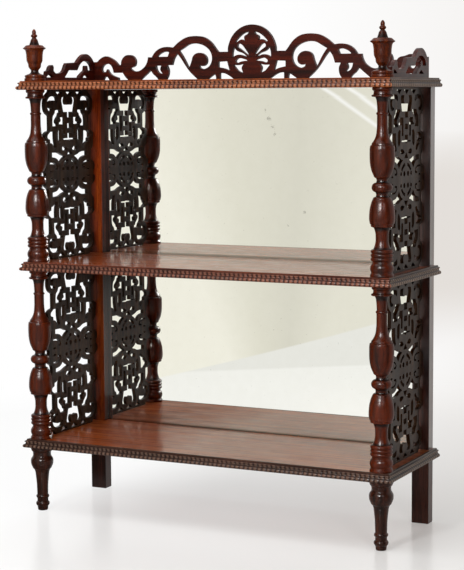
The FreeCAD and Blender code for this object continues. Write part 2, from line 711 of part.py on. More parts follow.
GREAT_SCROLL = (
    (188.5, 69.0, TIP), (178.0, 74.5), (163.0, 84.0), (142.0, 86.0), (120.0, 79.5),
    (105.0, 66.0), (101.0, 48.0), (108.0, 32.0), (123.0, 25.0), (134.0, 28.5), (136.0, 34.5, TIP),
    (125.0, 31.5), (115.5, 38.5), (115.0, 52.0), (125.0, 62.5), (140.0, 64.5), (153.0, 57.5),
    (156.5, 42.0), (163.5, 27.5, TIP), (173.0, 46.0), (181.0, 59.0),
)
HALF_MOON = ((248.5, 56.0, 1), (219.5, 56.0, 1), (215.0, 66.5, 2), (228.0, 68.0), (241.0, 62.5))
SMALL_SCROLL = ((251.5, 35.0, 1), (237.0, 35.0, 1), (241.0, 26.0), (233.5, 16.0, TIP),
                (244.5, 18.0), (250.0, 27.0))
BAR_OPENING = ((85.7, 42.0, 1), (63.0, 43.0, 1), (56.5, 21.0, TIP), (70.0, 27.0),
               (85.7, 29.5, 1))
CREST_PETAL = (
    (7.0, 110.0, TIP), (20.0, 106.5), (30.0, 99.5), (41.0, 88.5, 1), (38.0, 85.5, 1),
    (31.0, 91.0), (24.0, 93.0), (15.5, 88.0, TIP), (19.5, 94.5), (18.0, 101.0), (10.0, 104.0),
)
UPPER_PETAL = ((5.5, 55.0, TIP), (13.0, 66.5), (24.0, 80.5), (33.0, 84.5), (38.0, 76.5),
               (26.0, 69.0), (14.0, 59.5))
MIDDLE_PETAL = (
    (11.0, 52.0, TIP), (20.0, 60.5), (35.0, 65.0), (40.5, 69.0), (44.5, 76.0, TIP),
    (49.0, 64.5), (49.5, 51.0, TIP), (41.0, 56.5), (30.0, 58.5),
)
LOWER_PETAL = ((9.0, 44.0, TIP), (22.0, 48.5), (34.0, 50.5), (42.5, 43.0), (37.0, 38.0),
               (26.0, 42.5))
FOOT_OPENING = ((47.0, 34.5, 1), (34.0, 33.0), (20.0, 37.0, TIP), (27.0, 28.0),
                (22.0, 16.0, TIP), (34.0, 19.5))


def along_gallery(loop, stretch):
    """Corners with their distance from the middle stretched to the real length."""
    return [(p[0] * stretch,) + tuple(p[1:]) for p in loop]


def lower_arch(loop):
    """The corners with those on top of the corner arch brought down."""
    top = [p for p in GALLERY_TOP if p[0] in CORNER_ARCH_PLACES]
    return [(p[0], p[1] - right_arch_drop) + tuple(p[2:]) if p in top else p for p in loop]


def back_gallery():
    """Pierced and scrolled gallery along the back, with a palmette under its arch."""
    stretch = gallery_half_length / GALLERY_DRAWN_HALF_LENGTH
    half = list(GALLERY_BOTTOM + GALLERY_TOP)
    half += arch_corners(ARCH_RADIUS, ARCH_CENTRE_HEIGHT, CURVE_STEPS)
    outline = along_gallery(lower_arch(half) + flipped(half[::-1], -1, 1), stretch)
    holes = []
    for loop in (GREAT_SCROLL, HALF_MOON, SMALL_SCROLL, BAR_OPENING, CREST_PETAL, UPPER_PETAL,
                 MIDDLE_PETAL, LOWER_PETAL, FOOT_OPENING):
        holes.append(along_gallery(loop, stretch))
        holes.append(along_gallery(flipped(loop, -1, 1), stretch))

    def place(a, b):
        return vec(a, gallery_front_y, gallery_z + b)

    panel = pierced_panel(outline, holes, place, vec(0, gallery_thickness, 0))
    return panel.cut([pin(gallery_dowel_radius + fit_clearance, gallery_dowel_depth + end_clearance,
                          x, y, gallery_z) for x, y in back_dowel_places()])


# The side gallery is drawn from its front end, at the finial, to the back gallery.
SIDE_OUTLINE = (
    (0.0, 0.0, 0), (0.0, 10.0, 2), (16.0, 11.0, 3), (20.0, 22.5, 2), (28.0, 24.0, 3),
    (34.0, 34.0), (46.0, 38.0), (51.0, 31.0), (48.5, 24.5), (57.0, 18.0), (74.0, 17.5),
    (93.0, 22.0), (101.0, 35.0), (107.0, 42.0, 3), (153.0, 44.0, 6), (166.0, 55.0),
    (184.0, 64.5), (203.0, 64.5), (220.0, 56.0), (230.0, 45.5, 1),
    (232.5, 45.5, 0), (232.5, 0.0, 0),
)
SIDE_DRAWN_LENGTH = SIDE_OUTLINE[-1][0]
SIDE_FRONT_HOLE = ((16.5, 8.5, 1), (33.0, 17.5, 3), (51.0, 8.5, 1))
SIDE_REAR_HOLE = ((176.0, 8.5, 1), (192.5, 17.5, 3), (210.0, 8.5, 1))
SIDE_ARCH_OPENING = (
    (97.0, 8.5, 1), (107.0, 16.5), (116.5, 25.5, 2), (154.0, 25.5, 3), (164.0, 38.0),
    (179.0, 47.5), (204.0, 47.5), (219.0, 38.0), (223.0, 26.0, 2), (202.0, 26.0, 2),
    (199.5, 37.0, 3), (191.5, 37.0, 3), (189.5, 25.5, 2), (179.0, 21.0), (165.0, 12.5, 2),
    (162.0, 8.5, 1),
)


def side_gallery_ends():
    """Front and back end of a side gallery."""
    base = FINIAL_BASE_RADIUS * finial_rim_radius / drawn_radius(FINIAL_PROFILE)
    return column_y + base + gallery_finial_gap, gallery_front_y


def side_gallery():
    """Gallery of the right-hand end, between the finial and the back gallery."""
    start, end = side_gallery_ends()
    stretch = (end - start) / SIDE_DRAWN_LENGTH
    inner_x = column_x - gallery_thickness / 2

    def place(a, b):
        return vec(inner_x, start + a * stretch, gallery_z + b)

    panel = pierced_panel(list(SIDE_OUTLINE),
                          [list(SIDE_FRONT_HOLE), list(SIDE_REAR_HOLE), list(SIDE_ARCH_OPENING)],
                          place, vec(gallery_thickness, 0, 0))
    return panel.cut([pin(gallery_dowel_radius + fit_clearance, gallery_dowel_depth + end_clearance,
                          x, y, gallery_z) for x, y in side_dowel_places()])


BACK_DOWEL_DISTANCES = (25.0, 128.0, 310.0)     # as drawn, from the middle of the back gallery
SIDE_DOWEL_DISTANCES = (70.0, 218.0)            # as drawn, from the front end of a side gallery


def back_dowel_places():
    """Dowels under the feet of the back gallery."""
    stretch = gallery_half_length / GALLERY_DRAWN_HALF_LENGTH
    y = (gallery_front_y + gallery_back_y) / 2
    return [(sign * s * stretch, y) for s in BACK_DOWEL_DISTANCES for side, sign in SIDES]


def side_dowel_places():
    """Dowels under the right-hand side gallery."""
    start, end = side_gallery_ends()
    stretch = (end - start) / SIDE_DRAWN_LENGTH
    return [(column_x, start + s * stretch) for s in SIDE_DOWEL_DISTANCES]


def gallery_dowel_places():
    right = side_dowel_places()
    return back_dowel_places() + right + [(-x, y) for x, y in right]


def gallery_dowels():
    """All dowels between the gallery and the top shelf."""
    low = gallery_z - gallery_dowel_depth
    return Part.Compound([pin(gallery_dowel_radius, 2 * gallery_dowel_depth, x, y, low)
                          for x, y in gallery_dowel_places()])


# --- assembly ----------------------------------------------------------------------------
def standing(shape, z):
    """A turned piece placed on the axis of the right-hand column."""
    return shape.translated(vec(column_x, column_y, z))


def build():
    os.makedirs("parts", exist_ok=True)
    for name, z in SHELVES:
        save(name + "_shelf", shelf_board(name, z))
        save(name + "_moulding_front", front_moulding(z))
        for side, sign in SIDES:
            save(name + "_moulding_" + side, on_side(side_moulding(z), sign))
    for side, sign in SIDES:
        save("front_leg_" + side, on_side(standing(front_leg(), 0), sign))
        save("rear_leg_" + side, on_side(rear_leg(), sign))
        save("finial_" + side, on_side(standing(finial(), gallery_z), sign))
        save("side_gallery_" + side, on_side(side_gallery(), sign))
        for bay, z in BAYS:
            save(bay + "_column_" + side, on_side(standing(column(), z), sign))
            save(bay + "_post_" + side, on_side(rear_post(z, bay_height), sign))
            save(bay + "_fret_" + side, on_side(fret_panel(z), sign))
    for bay, z in BAYS:
        save(bay + "_mirror_glass", mirror_glass(z))
        save(bay + "_back_board", back_board(z))
    save("back_gallery", back_gallery())
    save("post_dowels", post_dowels())
    save("gallery_dowels", gallery_dowels())
    save("back_board_pins", back_board_pins())


build()
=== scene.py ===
# %% [markdown]
# # A three-tier etagere with a looking-glass back
# The piece is a Victorian whatnot: three shelves between turned columns at the front and square
# posts behind, sawn fretwork at the ends, a mirror behind each bay and a scrolled gallery on
# top. The solids come from the CAD frame. This lesson dresses them: it turns the columns again
# as fine surfaces, ripples the shelf mouldings, softens the sawn edges and mixes the finishes.

import math

import bmesh
import bpy
import numpy as np
from mathutils import Matrix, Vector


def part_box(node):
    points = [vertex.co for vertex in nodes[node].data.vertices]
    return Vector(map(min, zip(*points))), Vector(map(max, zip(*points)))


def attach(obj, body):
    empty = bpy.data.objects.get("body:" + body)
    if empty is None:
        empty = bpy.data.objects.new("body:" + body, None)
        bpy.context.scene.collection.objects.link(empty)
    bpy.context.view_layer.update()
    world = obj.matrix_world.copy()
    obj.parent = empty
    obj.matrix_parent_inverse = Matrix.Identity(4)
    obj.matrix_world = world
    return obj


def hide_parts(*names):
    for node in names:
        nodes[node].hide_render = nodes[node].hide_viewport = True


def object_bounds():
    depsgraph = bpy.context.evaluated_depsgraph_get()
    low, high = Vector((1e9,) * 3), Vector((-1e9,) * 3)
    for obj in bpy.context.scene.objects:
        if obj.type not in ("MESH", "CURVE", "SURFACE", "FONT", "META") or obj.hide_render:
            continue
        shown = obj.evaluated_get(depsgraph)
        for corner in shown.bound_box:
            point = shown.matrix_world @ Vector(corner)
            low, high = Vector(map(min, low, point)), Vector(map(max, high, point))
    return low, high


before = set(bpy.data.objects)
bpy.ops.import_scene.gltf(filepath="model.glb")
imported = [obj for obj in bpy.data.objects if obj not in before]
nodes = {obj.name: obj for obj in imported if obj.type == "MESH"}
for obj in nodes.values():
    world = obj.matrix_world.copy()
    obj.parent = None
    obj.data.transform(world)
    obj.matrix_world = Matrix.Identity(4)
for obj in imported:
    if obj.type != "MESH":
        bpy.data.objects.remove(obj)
cad_box = [list(corner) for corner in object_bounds()]
print(len(nodes), "nodes, box from", np.round(cad_box[0], 3), "to", np.round(cad_box[1], 3))

# %% [markdown]
# ## Sizes
# Blender works in metres, and joiners in millimetres, so one constant turns one into the other.
# Every place is read off the CAD frame: a board's box says where its mouldings start.

# %% Places read off the frame
MM = 0.001
SHELF_NAMES = ("bottom", "middle", "top")
BAY_NAMES = ("lower", "upper")
SIDE_SIGNS = {"left": -1.0, "right": 1.0}
board_low, board_high = (np.array(corner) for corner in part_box("top_shelf"))
case_low, case_high = np.array(cad_box[0]), np.array(cad_box[1])
board_thickness = board_high[2] - board_low[2]
moulding_depth = board_low[0] - case_low[0]
shelf_bottoms = {name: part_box(name + "_shelf")[0].z for name in SHELF_NAMES}
column_axis = np.array([(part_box("front_leg_right")[0][i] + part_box("front_leg_right")[1][i]) / 2
                        for i in (0, 1)])
print("board", np.round((board_high - board_low) / MM, 1), "mm, moulding",
      round(moulding_depth / MM, 1), "mm deep, column axis", np.round(column_axis / MM, 1))

# %% [markdown]
# ## One helper for shader nodes
# A finish is a small graph. Writing it by hand means three steps for each node: add it, set
# what it needs, and link its inputs. One function does all three: an input that is itself a
# socket becomes a link, and a colour ramp takes its stops as a list.


# %% Nodes and colours
def linear(hex_colour):
    """sRGB hex to linear RGBA: below 0.04045 divide by 12.92, above it a 2.4 power law."""
    srgb = np.array([int(hex_colour[i:i + 2], 16) for i in (1, 3, 5)]) / 255.0
    rgb = np.where(srgb <= 0.04045, srgb / 12.92, ((srgb + 0.055) / 1.055) ** 2.4)
    return (*rgb.tolist(), 1.0)


def fill_inputs(tree, node, inputs):
    """Inputs are {name or index: value or socket}: a socket is linked, and a value is set."""
    for key, value in inputs.items():
        if isinstance(value, bpy.types.NodeSocket):
            tree.links.new(value, node.inputs[key])
        else:
            node.inputs[key].default_value = value


def add_node(tree, kind, inputs=(), stops=(), **settings):
    """Add a node, set its attributes, fill its inputs, and return its outputs.

    Stops are for a colour ramp: (position, colour), where a colour is hex or a grey level.
    """
    made = tree.nodes.new("ShaderNode" + kind)
    for key, value in settings.items():
        setattr(made, key, value)
    fill_inputs(tree, made, dict(inputs))
    if stops:
        elements = made.color_ramp.elements
        while len(elements) < len(stops):
            elements.new(0.5)
        for element, (position, colour) in zip(elements, stops):
            element.position = position
            element.color = linear(colour) if isinstance(colour, str) else (colour,) * 3 + (1.0,)
    return made.outputs


def new_finish(name):
    """A new material, with its node tree and its Principled shader."""
    material = bpy.data.materials.new(name)
    material.use_nodes = True
    return material, material.node_tree, material.node_tree.nodes["Principled BSDF"]


print("mid rosewood in linear light:", np.round(linear("#5a2415"), 4))

# %% [markdown]
# ## Patterns that the finishes share
# Wood figure, foxing and rust can all be drawn by noise. Its scale comes from a width in
# millimetres. In wood it is drawn out along one axis of the Object coordinates, so the grain
# runs through each piece as it does through a plank. A pattern then tones a colour, which means
# that it multiplies it, or it covers the colour with another.


# %% Mottle, tone, cover and fade
def spot_of(tree):
    """The Object coordinates, and the same taken apart into X, Y and Z."""
    place = add_node(tree, "TexCoord")["Object"]
    return place, add_node(tree, "SeparateXYZ", {0: place})


def mottle(tree, width_mm, detail, axis="X", stretch=1.0, roughness=0.55, distortion=0.0):
    """Noise with lumps about this many millimetres wide, and stretch times as long.

    The Object coordinate along the axis is divided by the stretch before the noise is taken.
    """
    scale = [1.0, 1.0, 1.0]
    scale["XYZ".index(axis)] = 1.0 / stretch
    drawn_out = add_node(tree, "Mapping", {"Vector": spot_of(tree)[0], "Scale": scale})
    return add_node(tree, "TexNoise",
                    {"Vector": drawn_out["Vector"], "Scale": 1.0 / (width_mm * MM),
                     "Detail": detail, "Roughness": roughness,
                     "Distortion": distortion})["Fac"]


def tone(tree, colour, pattern, stops):
    """The colour times the grey levels that the stops give to the pattern."""
    levels = add_node(tree, "ValToRGB", {"Fac": pattern}, stops)["Color"]
    return add_node(tree, "Mix", {"Factor": 1.0, 6: colour, 7: levels},
                    data_type="RGBA", blend_type="MULTIPLY")[2]


def cover(tree, colour, pattern, stops, other):
    """The colour, and over it the other, by the share that the stops give to the pattern."""
    share = add_node(tree, "ValToRGB", {"Fac": pattern}, stops)["Color"]
    return add_node(tree, "Mix", {"Factor": share, 6: colour, 7: linear(other)},
                    data_type="RGBA")[2]


def fade(tree, value, start, end, first, second, most=1.0, smooth=False):
    """The first colour where the value is start, turning into the second, by most, at end."""
    share = add_node(tree, "MapRange",
                     {"Value": value, "From Min": start, "From Max": end, "To Max": most},
                     interpolation_type="SMOOTHSTEP" if smooth else "LINEAR")["Result"]
    return add_node(tree, "Mix", {"Factor": share, 6: first, 7: second}, data_type="RGBA")[2]


print("noise scale for pores of 0.7 mm:", round(1.0 / (0.7 * MM)), "per metre")

# %% [markdown]
# ## Rosewood
# Rosewood is dark red-brown, with nearly black figure lines and fine open pores that run along
# the grain. Its colour is built in layers: a broad figure of three shades, then the lines, the
# pores and an uneven tone over the whole plank. Two attributes, which some pieces carry, say
# where it has aged and where light falls. Hollow is how deep a spot lies in a groove, where old
# wax and dirt darken it, together with painted shade. Crest is how far it stands out on a
# ripple, where rubbing has lightened it, together with a painted highlight.

# %% Colour of rosewood
FIGURE_LEVELS = (0.28, 0.47, 0.70)      # noise levels that take the dark, middle and light shade


def rosewood_colour(tree, axis, shades, figure_mm, stretch, line_tone, grime_and_shade, wear_and_highlight):
    """Colour of the wood, with its lines and pores, which also shape its relief."""
    figure = mottle(tree, figure_mm, 5.0, axis, stretch, roughness=0.62, distortion=0.35)
    colour = add_node(tree, "ValToRGB", {"Fac": figure},
                      tuple(zip(FIGURE_LEVELS, shades)))["Color"]
    # Dark lines about 1.5 mm wide, and pores drawn 0.7 mm wide, coarser than real so they show.
    lines = mottle(tree, 1.5, 2.0, axis, 40.0)
    colour = tone(tree, colour, lines, ((0.30, line_tone), (0.55, 1.0)))
    pores = mottle(tree, 0.7, 1.0, axis, 22.0)
    colour = tone(tree, colour, pores, ((0.30, 0.35), (0.40, 1.0)))
    # Broad uneven tone, as one plank is never one colour.
    colour = tone(tree, colour, mottle(tree, 160.0, 2.0, axis, 3.0), ((0.3, 0.74), (0.7, 1.15)))
    # Grooves are covered with the grime colour, dirt together with painted shade; rib crests with
    # the wear colour, rubbed wear together with a painted highlight.
    for attribute, stops, other in (("hollow", ((0.15, 0.0), (0.85, 0.92)), grime_and_shade),
                                    ("crest", ((0.45, 0.0), (1.0, 0.45)), wear_and_highlight)):
        carried = add_node(tree, "Attribute", attribute_name=attribute)["Fac"]
        colour = cover(tree, colour, carried, stops, other)
    return colour, lines, pores


print("figure shades at noise levels", FIGURE_LEVELS)

# %% [markdown]
# ## French polish
# French polish is shellac rubbed on in many thin coats, so the wood keeps its colour under a
# clear, slightly uneven gloss. In Blender that is a Principled shader with a coat: the base
# holds the wood, and the coat holds the shellac. On flat work the coat grows towards a slanting
# view, because old polish is thin and dull from the front and shines like glass at a slant.

# %% The polish and the finish
POLISH_ROUGHNESS = (0.288, 0.486)       # under the coat: where polish is kept, where it is rubbed
PORE_DEPTH = 0.2 * MM
THIN_POLISH = 0.2                       # share of the coat that is left on a dull end


def french_polish(tree, shader, axis, shine, coat, coat_roughness, dull):
    """Coat weight goes from coat[0], seen straight on, to coat[1], seen at a slant.

    A dull end is (place on X where the polish is thin, place where it is full).
    """
    # It is duller in patches about 45 mm wide, where hands and dusters have been.
    rough = add_node(tree, "MapRange",
                     {"Value": mottle(tree, 45.0, 3.0, axis, 1.5), "From Min": 0.3,
                      "From Max": 0.7, "To Min": POLISH_ROUGHNESS[0],
                      "To Max": POLISH_ROUGHNESS[1]})["Result"]
    fill_inputs(tree, shader, {"Roughness": rough, "Specular IOR Level": shine,
                               "Coat Roughness": coat_roughness, "Coat Weight": coat[0]})
    if coat[0] == coat[1]:
        return
    slant = add_node(tree, "LayerWeight")["Facing"]
    weight = add_node(tree, "MapRange",
                      {"Value": slant, "From Min": 0.15, "From Max": 0.6, "To Min": coat[0],
                       "To Max": coat[1]})["Result"]
    if dull:
        kept = add_node(tree, "MapRange",
                        {"Value": spot_of(tree)[1]["X"], "From Min": dull[0],
                         "From Max": dull[1], "To Min": THIN_POLISH})["Result"]
        weight = add_node(tree, "Math", {0: weight, 1: kept}, operation="MULTIPLY")[0]
    fill_inputs(tree, shader, {"Coat Weight": weight})


def polished_wood(name, axis, shades, figure_mm, shine=0.05, coat=(0.25, 0.5),
                  coat_roughness=0.14, grime_and_shade="#140704", wear_and_highlight="#8a4a2c", stretch=14.0,
                  line_tone=0.55, relief=0.06, painted_shade=(), dull=None):
    """French-polished wood whose grain runs along one axis; shades are dark, middle, light.

    Each painted shade is (axis, place where the painted shade is darkest, place where the wood is
    fully lit, tone of the darkest shade), and the tone runs evenly between the two places.
    """
    material, tree, shader = new_finish(name)
    colour, lines, pores = rosewood_colour(tree, axis, shades, figure_mm, stretch, line_tone,
                                           grime_and_shade, wear_and_highlight)
    # Painted shade: the colour darkens from each lit place towards its shaded place.
    for across, shaded_place, lit_place, shade_tone in painted_shade:
        lit_share = add_node(tree, "MapRange",
                          {"Value": spot_of(tree)[1][across], "From Min": shaded_place,
                           "From Max": lit_place, "To Min": shade_tone})["Result"]
        colour = add_node(tree, "Mix", {"Factor": 1.0, 6: colour, 7: lit_share},
                          data_type="RGBA", blend_type="MULTIPLY")[2]
    french_polish(tree, shader, axis, shine, coat, coat_roughness, dull)
    grain_bump = add_node(tree, "Bump",
                          {"Height": lines, "Strength": relief, "Distance": PORE_DEPTH})
    pore_bump = add_node(tree, "Bump",
                         {"Height": pores, "Strength": 0.8 * relief, "Distance": PORE_DEPTH,
                          "Normal": grain_bump["Normal"]})
    fill_inputs(tree, shader, {"Base Color": colour, "Normal": pore_bump["Normal"]})
    return material


print("polish roughness from", POLISH_ROUGHNESS[0], "to", POLISH_ROUGHNESS[1])

# %% [markdown]
# ## Shades of each piece
# All of it is rosewood, but age has treated each piece in its own way. The shelf tops are worn to
# a light red-brown, and the frets stay nearly black. Some shades are painted light and shade:
# the top moulding is lighter than the lower ones, the side strips are darker than the front
# ones, and the right posts are darker than the left. The columns and finials have the same
# polish from every side, so both of their coat weights are one number.

# %% Wood of the turned work, the shelves and the mouldings
TURNED_SHADES = ("#260a02", "#441502", "#622104")
FINIAL_SHADES = ("#260c04", "#521c05", "#78340f")
LEG_SHADES = ("#130905", "#31160c", "#4a2315")
SHELF_SHADES = ("#4a1805", "#8c3a10", "#b66830")
SHELF_DULL_ENDS = {"bottom": (-0.24, -0.05), "middle": None, "top": None}
# Painted light and shade: the top strips are lighter and more orange, the lower ones and the side
# strips darker and greyer, and the pale crest tones are partly a painted highlight.
MOULDING_SHADES_LIT_AND_SHADED = {                     # the three shades, then the tone of the rubbed and highlighted crests
    ("top", "X"): (("#441808", "#883c12", "#b8622e"), "#c08c6c"),
    ("middle", "X"): (("#33150b", "#632e1e", "#884c36"), "#a87864"),
    ("bottom", "X"): (("#27140d", "#462a1e", "#684436"), "#8c7262"),
    ("top", "Y"): (("#20120b", "#4a2f22", "#6e4c38"), "#b89c84"),
    ("middle", "Y"): (("#1e110b", "#432a1f", "#644633"), "#b0947c"),
    ("bottom", "Y"): (("#1c110c", "#3c2a20", "#5c4636"), "#a88c76"),
}

turned_wood = polished_wood("french_polished_turned_rosewood", "Z", TURNED_SHADES, 14.0,
                            coat=(0.28, 0.28), coat_roughness=0.24, line_tone=0.82,
                            relief=0.03)
finial_wood = polished_wood("french_polished_turned_finial", "Z", FINIAL_SHADES, 10.0,
                            coat=(0.14, 0.14), coat_roughness=0.25, line_tone=0.75,
                            relief=0.03)
leg_wood = polished_wood("worn_turned_rosewood", "Z", LEG_SHADES, 14.0)
# The shelves are veneered: long, smooth figure. On the bottom one the polish is thin on the left.
shelf_wood = {shelf: polished_wood("french_polished_rosewood_veneer_" + shelf, "X",
                                   SHELF_SHADES, 9.0, coat=(0.35, 0.65), coat_roughness=0.13,
                                   stretch=30.0, line_tone=0.8, relief=0.02, dull=dull)
              for shelf, dull in SHELF_DULL_ENDS.items()}
moulding_wood = {(shelf, axis): polished_wood(
    "french_polished_{}_ripple_moulding_{}".format(shelf, axis.lower()), axis, shades, 12.0,
    coat=(0.22, 0.3), coat_roughness=0.16, grime_and_shade="#1c0b06", wear_and_highlight=wear_and_highlight)
    for (shelf, axis), (shades, wear_and_highlight) in MOULDING_SHADES_LIT_AND_SHADED.items()}
print("moulding finishes:", [finish.name for finish in moulding_wood.values()])

# %% Wood of the posts, the frets and the gallery
# The right posts take a darker copy of the same wood: painted shade, as the right column and fret
# shade them.
POST_SHADES_LIT_AND_SHADED = {"left": ("#3a1205", "#8e340c", "#bc581a"),
               "right": ("#180704", "#34120a", "#4e2212")}
POST_SHINE = {"left": 0.05, "right": 0.45}
# Painted shade on the left post: it is bright on the inner half of its front alone, and less so in
# the lower bay.
post_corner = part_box("upper_post_left")[0]
POST_PAINTED_SHADE = {"left": (("Y", post_corner.y + 3.0 * MM, post_corner.y + 1.0 * MM, 0.25),
                        ("X", post_corner.x + 12.0 * MM, post_corner.x + 21.0 * MM, 0.22),
                        ("Z", post_corner.z, post_corner.z + 60.0 * MM, 0.45)),
               "right": ()}
REAR_LEG_SHADES = ("#1a0b06", "#38180e", "#54281a")
FRET_SHADES = ("#130a05", "#2c190c", "#432a15")
GALLERY_SHADES = ("#180602", "#3a0f06", "#581b09")
GALLERY_BOARDS = {"back": ("X", 0.32), "left": ("Y", 0.12), "right": ("Y", 0.3)}

post_wood = {side: polished_wood("french_polished_rosewood_post_" + side, "Z", shades, 18.0,
                                 shine=POST_SHINE[side], coat=(0.1, 1.0),
                                 painted_shade=POST_PAINTED_SHADE[side])
             for side, shades in POST_SHADES_LIT_AND_SHADED.items()}
rear_leg_wood = polished_wood("worn_rosewood_leg", "Z", REAR_LEG_SHADES, 18.0)
fret_wood = polished_wood("french_polished_sawn_fretwork", "Z", FRET_SHADES, 15.0,
                          coat=(0.1, 0.18), coat_roughness=0.24)
gallery_wood = {place: polished_wood("french_polished_sawn_gallery_" + place, axis,
                                     GALLERY_SHADES, 18.0, coat=(0.1, slant_coat),
                                     line_tone=0.8)
                for place, (axis, slant_coat) in GALLERY_BOARDS.items()}
print("wood finishes:", [finish.name for finish in bpy.data.materials])

# %% [markdown]
# ## Old looking-glass
# The glass is silvered at the back with tin or silver. Damp has eaten into the silver over a
# century and a half. It has left grey-brown specks, called foxing, in a few clusters, and a dark
# line along the lower edge, which is also painted shade where the glass meets the shelf. A
# darker band down the left edge is painted shade over the reflection of the post. A metallic
# shader gives the reflection. Specks come from thresholded noise, kept to a few clusters by the
# distance to their middles.

# %% The silvering
CLUSTERS = ((31.0, 926.0, 9.0), (38.0, 905.0, 12.0), (49.0, 887.0, 10.0), (54.0, 873.0, 9.0),
            (86.0, 662.0, 7.0), (129.0, 693.0, 7.0))     # x, z and reach in millimetres
SILVER, SILVER_HAZE = "#fafaf6", "#dedcd2"
PALE_LINE, DARK_SPECK_AND_SHADE = "#8f9184", "#4c4740"
PALE_LINE_MM = (5.6, 4.2)       # above the lower edge: where the pale line starts, and is full
DARK_LINE_MM = (2.4, 1.6)       # the same for the dark line, of decay and painted shade
LEFT_EDGE_MM = (17.0, 11.0)     # the same from the left edge, whose first 4.7 mm the post covers; painted shade


def cluster_mask(tree, place, x_mm, z_mm, reach_mm):
    """One inside a cluster, falling to nothing at its reach: 1 - distance / reach."""
    flat = add_node(tree, "VectorMath", {0: place, 1: (1.0, 0.0, 1.0)}, operation="MULTIPLY")[0]
    distance = add_node(tree, "VectorMath", {0: flat, 1: (x_mm * MM, 0.0, z_mm * MM)},
                        operation="DISTANCE")["Value"]
    return add_node(tree, "MapRange",
                    {"Value": distance, "From Max": reach_mm * MM, "To Min": 1.0,
                     "To Max": 0.0})["Result"]


def foxing(tree, place):
    """Share of dark specks: the noise plus 0.3 of the mask, past the threshold of a ramp."""
    mask = None
    for cluster in CLUSTERS:
        one = cluster_mask(tree, place, *cluster)
        mask = one if mask is None else add_node(tree, "Math", {0: mask, 1: one},
                                                 operation="MAXIMUM")[0]
    lifted = add_node(tree, "Math",
                      {0: mask, 1: 0.30, 2: mottle(tree, 7.0, 3.0, roughness=0.7)},
                      operation="MULTIPLY_ADD")[0]
    return add_node(tree, "ValToRGB", {"Fac": lifted}, ((0.68, 0.0), (0.84, 0.42)))["Color"]


def looking_glass(name, bay, lower_decay_and_shade):
    """Mirror finish: haze, a pale line, then the darkest of foxing, the lower edge and the painted
    shade of the left edge.

    The last argument is how dark the lower edge is, from 0 to 1: decayed silver together with
    painted shade.
    """
    left_edge, _, lower_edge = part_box(bay + "_mirror_glass")[0]
    material, tree, shader = new_finish(name)
    place, spot = spot_of(tree)
    colour = cover(tree, linear(SILVER), mottle(tree, 25.0, 3.0), ((0.3, 0.0), (0.8, 0.10)),
                   SILVER_HAZE)
    start, end = (lower_edge + mm * MM for mm in PALE_LINE_MM)
    colour = fade(tree, spot["Z"], start, end, colour, linear(PALE_LINE), most=0.55)
    foxing_and_shade = foxing(tree, place)
    for along, edge, (outer_mm, inner_mm), darkest in (
            ("Z", lower_edge, DARK_LINE_MM, lower_decay_and_shade), ("X", left_edge, LEFT_EDGE_MM, 0.4)):
        dark = add_node(tree, "MapRange",
                        {"Value": spot[along], "From Min": edge + outer_mm * MM,
                         "From Max": edge + inner_mm * MM, "To Max": darkest})["Result"]
        foxing_and_shade = add_node(tree, "Math", {0: foxing_and_shade, 1: dark}, operation="MAXIMUM")[0]
    colour = add_node(tree, "Mix", {"Factor": foxing_and_shade, 6: colour, 7: linear(DARK_SPECK_AND_SHADE)},
                      data_type="RGBA")[2]
    fill_inputs(tree, shader, {"Base Color": colour, "Roughness": 0.0, "Metallic": 1.0})
    return material


# The lower glass has the darker lower edge: decayed silver with stronger painted shade.
glass_finish = {bay: looking_glass("foxed_silvered_glass_" + bay, bay, lower_decay_and_shade)
                for bay, lower_decay_and_shade in (("lower", 0.8), ("upper", 0.25))}
print("looking-glass finishes:", [finish.name for finish in glass_finish.values()])

# %% [markdown]
# ## Plain woods and iron
# The back boards are pine that never saw polish: it has gone brown with age and dust. The dowels
# are beech, and the pins are iron wire. They hardly show, but a piece seen from behind needs them.


# %% Finishes of the hidden side
def plain_wood(name, axis, shades, figure_mm):
    """Unpolished wood: the same stretched noise, with no coat and a dry, dusty surface."""
    material, tree, shader = new_finish(name)
    figure = mottle(tree, figure_mm, 4.0, axis, 16.0, roughness=0.6, distortion=0.5)
    colour = add_node(tree, "ValToRGB", {"Fac": figure},
                      tuple(zip((0.3, 0.5, 0.7), shades)))["Color"]
    lines = mottle(tree, 1.2, 2.0, axis, 40.0)
    colour = tone(tree, colour, lines, ((0.3, 0.7), (0.6, 1.0)))
    stains = mottle(tree, 120.0, 4.0, axis, 1.2)
    colour = tone(tree, colour, stains, ((0.3, 0.6), (0.6, 1.0)))
    bump = add_node(tree, "Bump", {"Height": lines, "Strength": 0.3, "Distance": 0.3 * MM})
    fill_inputs(tree, shader, {"Base Color": colour, "Roughness": 0.78,
                               "Normal": bump["Normal"]})
    return material


def drawn_iron(name):
    """Dull drawn iron wire: dark grey with a little rust."""
    material, tree, shader = new_finish(name)
    colour = add_node(tree, "ValToRGB", {"Fac": mottle(tree, 1.5, 3.0)},
                      ((0.4, "#2b2a29"), (0.65, "#4a2f20")))["Color"]
    fill_inputs(tree, shader, {"Base Color": colour, "Roughness": 0.55, "Metallic": 0.8})
    return material


board_pine = plain_wood("aged_pine_back_board", "X", ("#4e3420", "#6e4c2f", "#8a6541"), 30.0)
dowel_beech = plain_wood("beech_dowel", "Z", ("#7d5a38", "#967049", "#ab8458"), 6.0)
pin_iron = drawn_iron("iron_panel_pin")
print("hidden side:", board_pine.name, dowel_beech.name, pin_iron.name)

# %% [markdown]
# ## Giving the CAD nodes their finish
# Flat boards need no new geometry, so the solids stay and take the finish in their material
# slots. Their meshes are never touched.


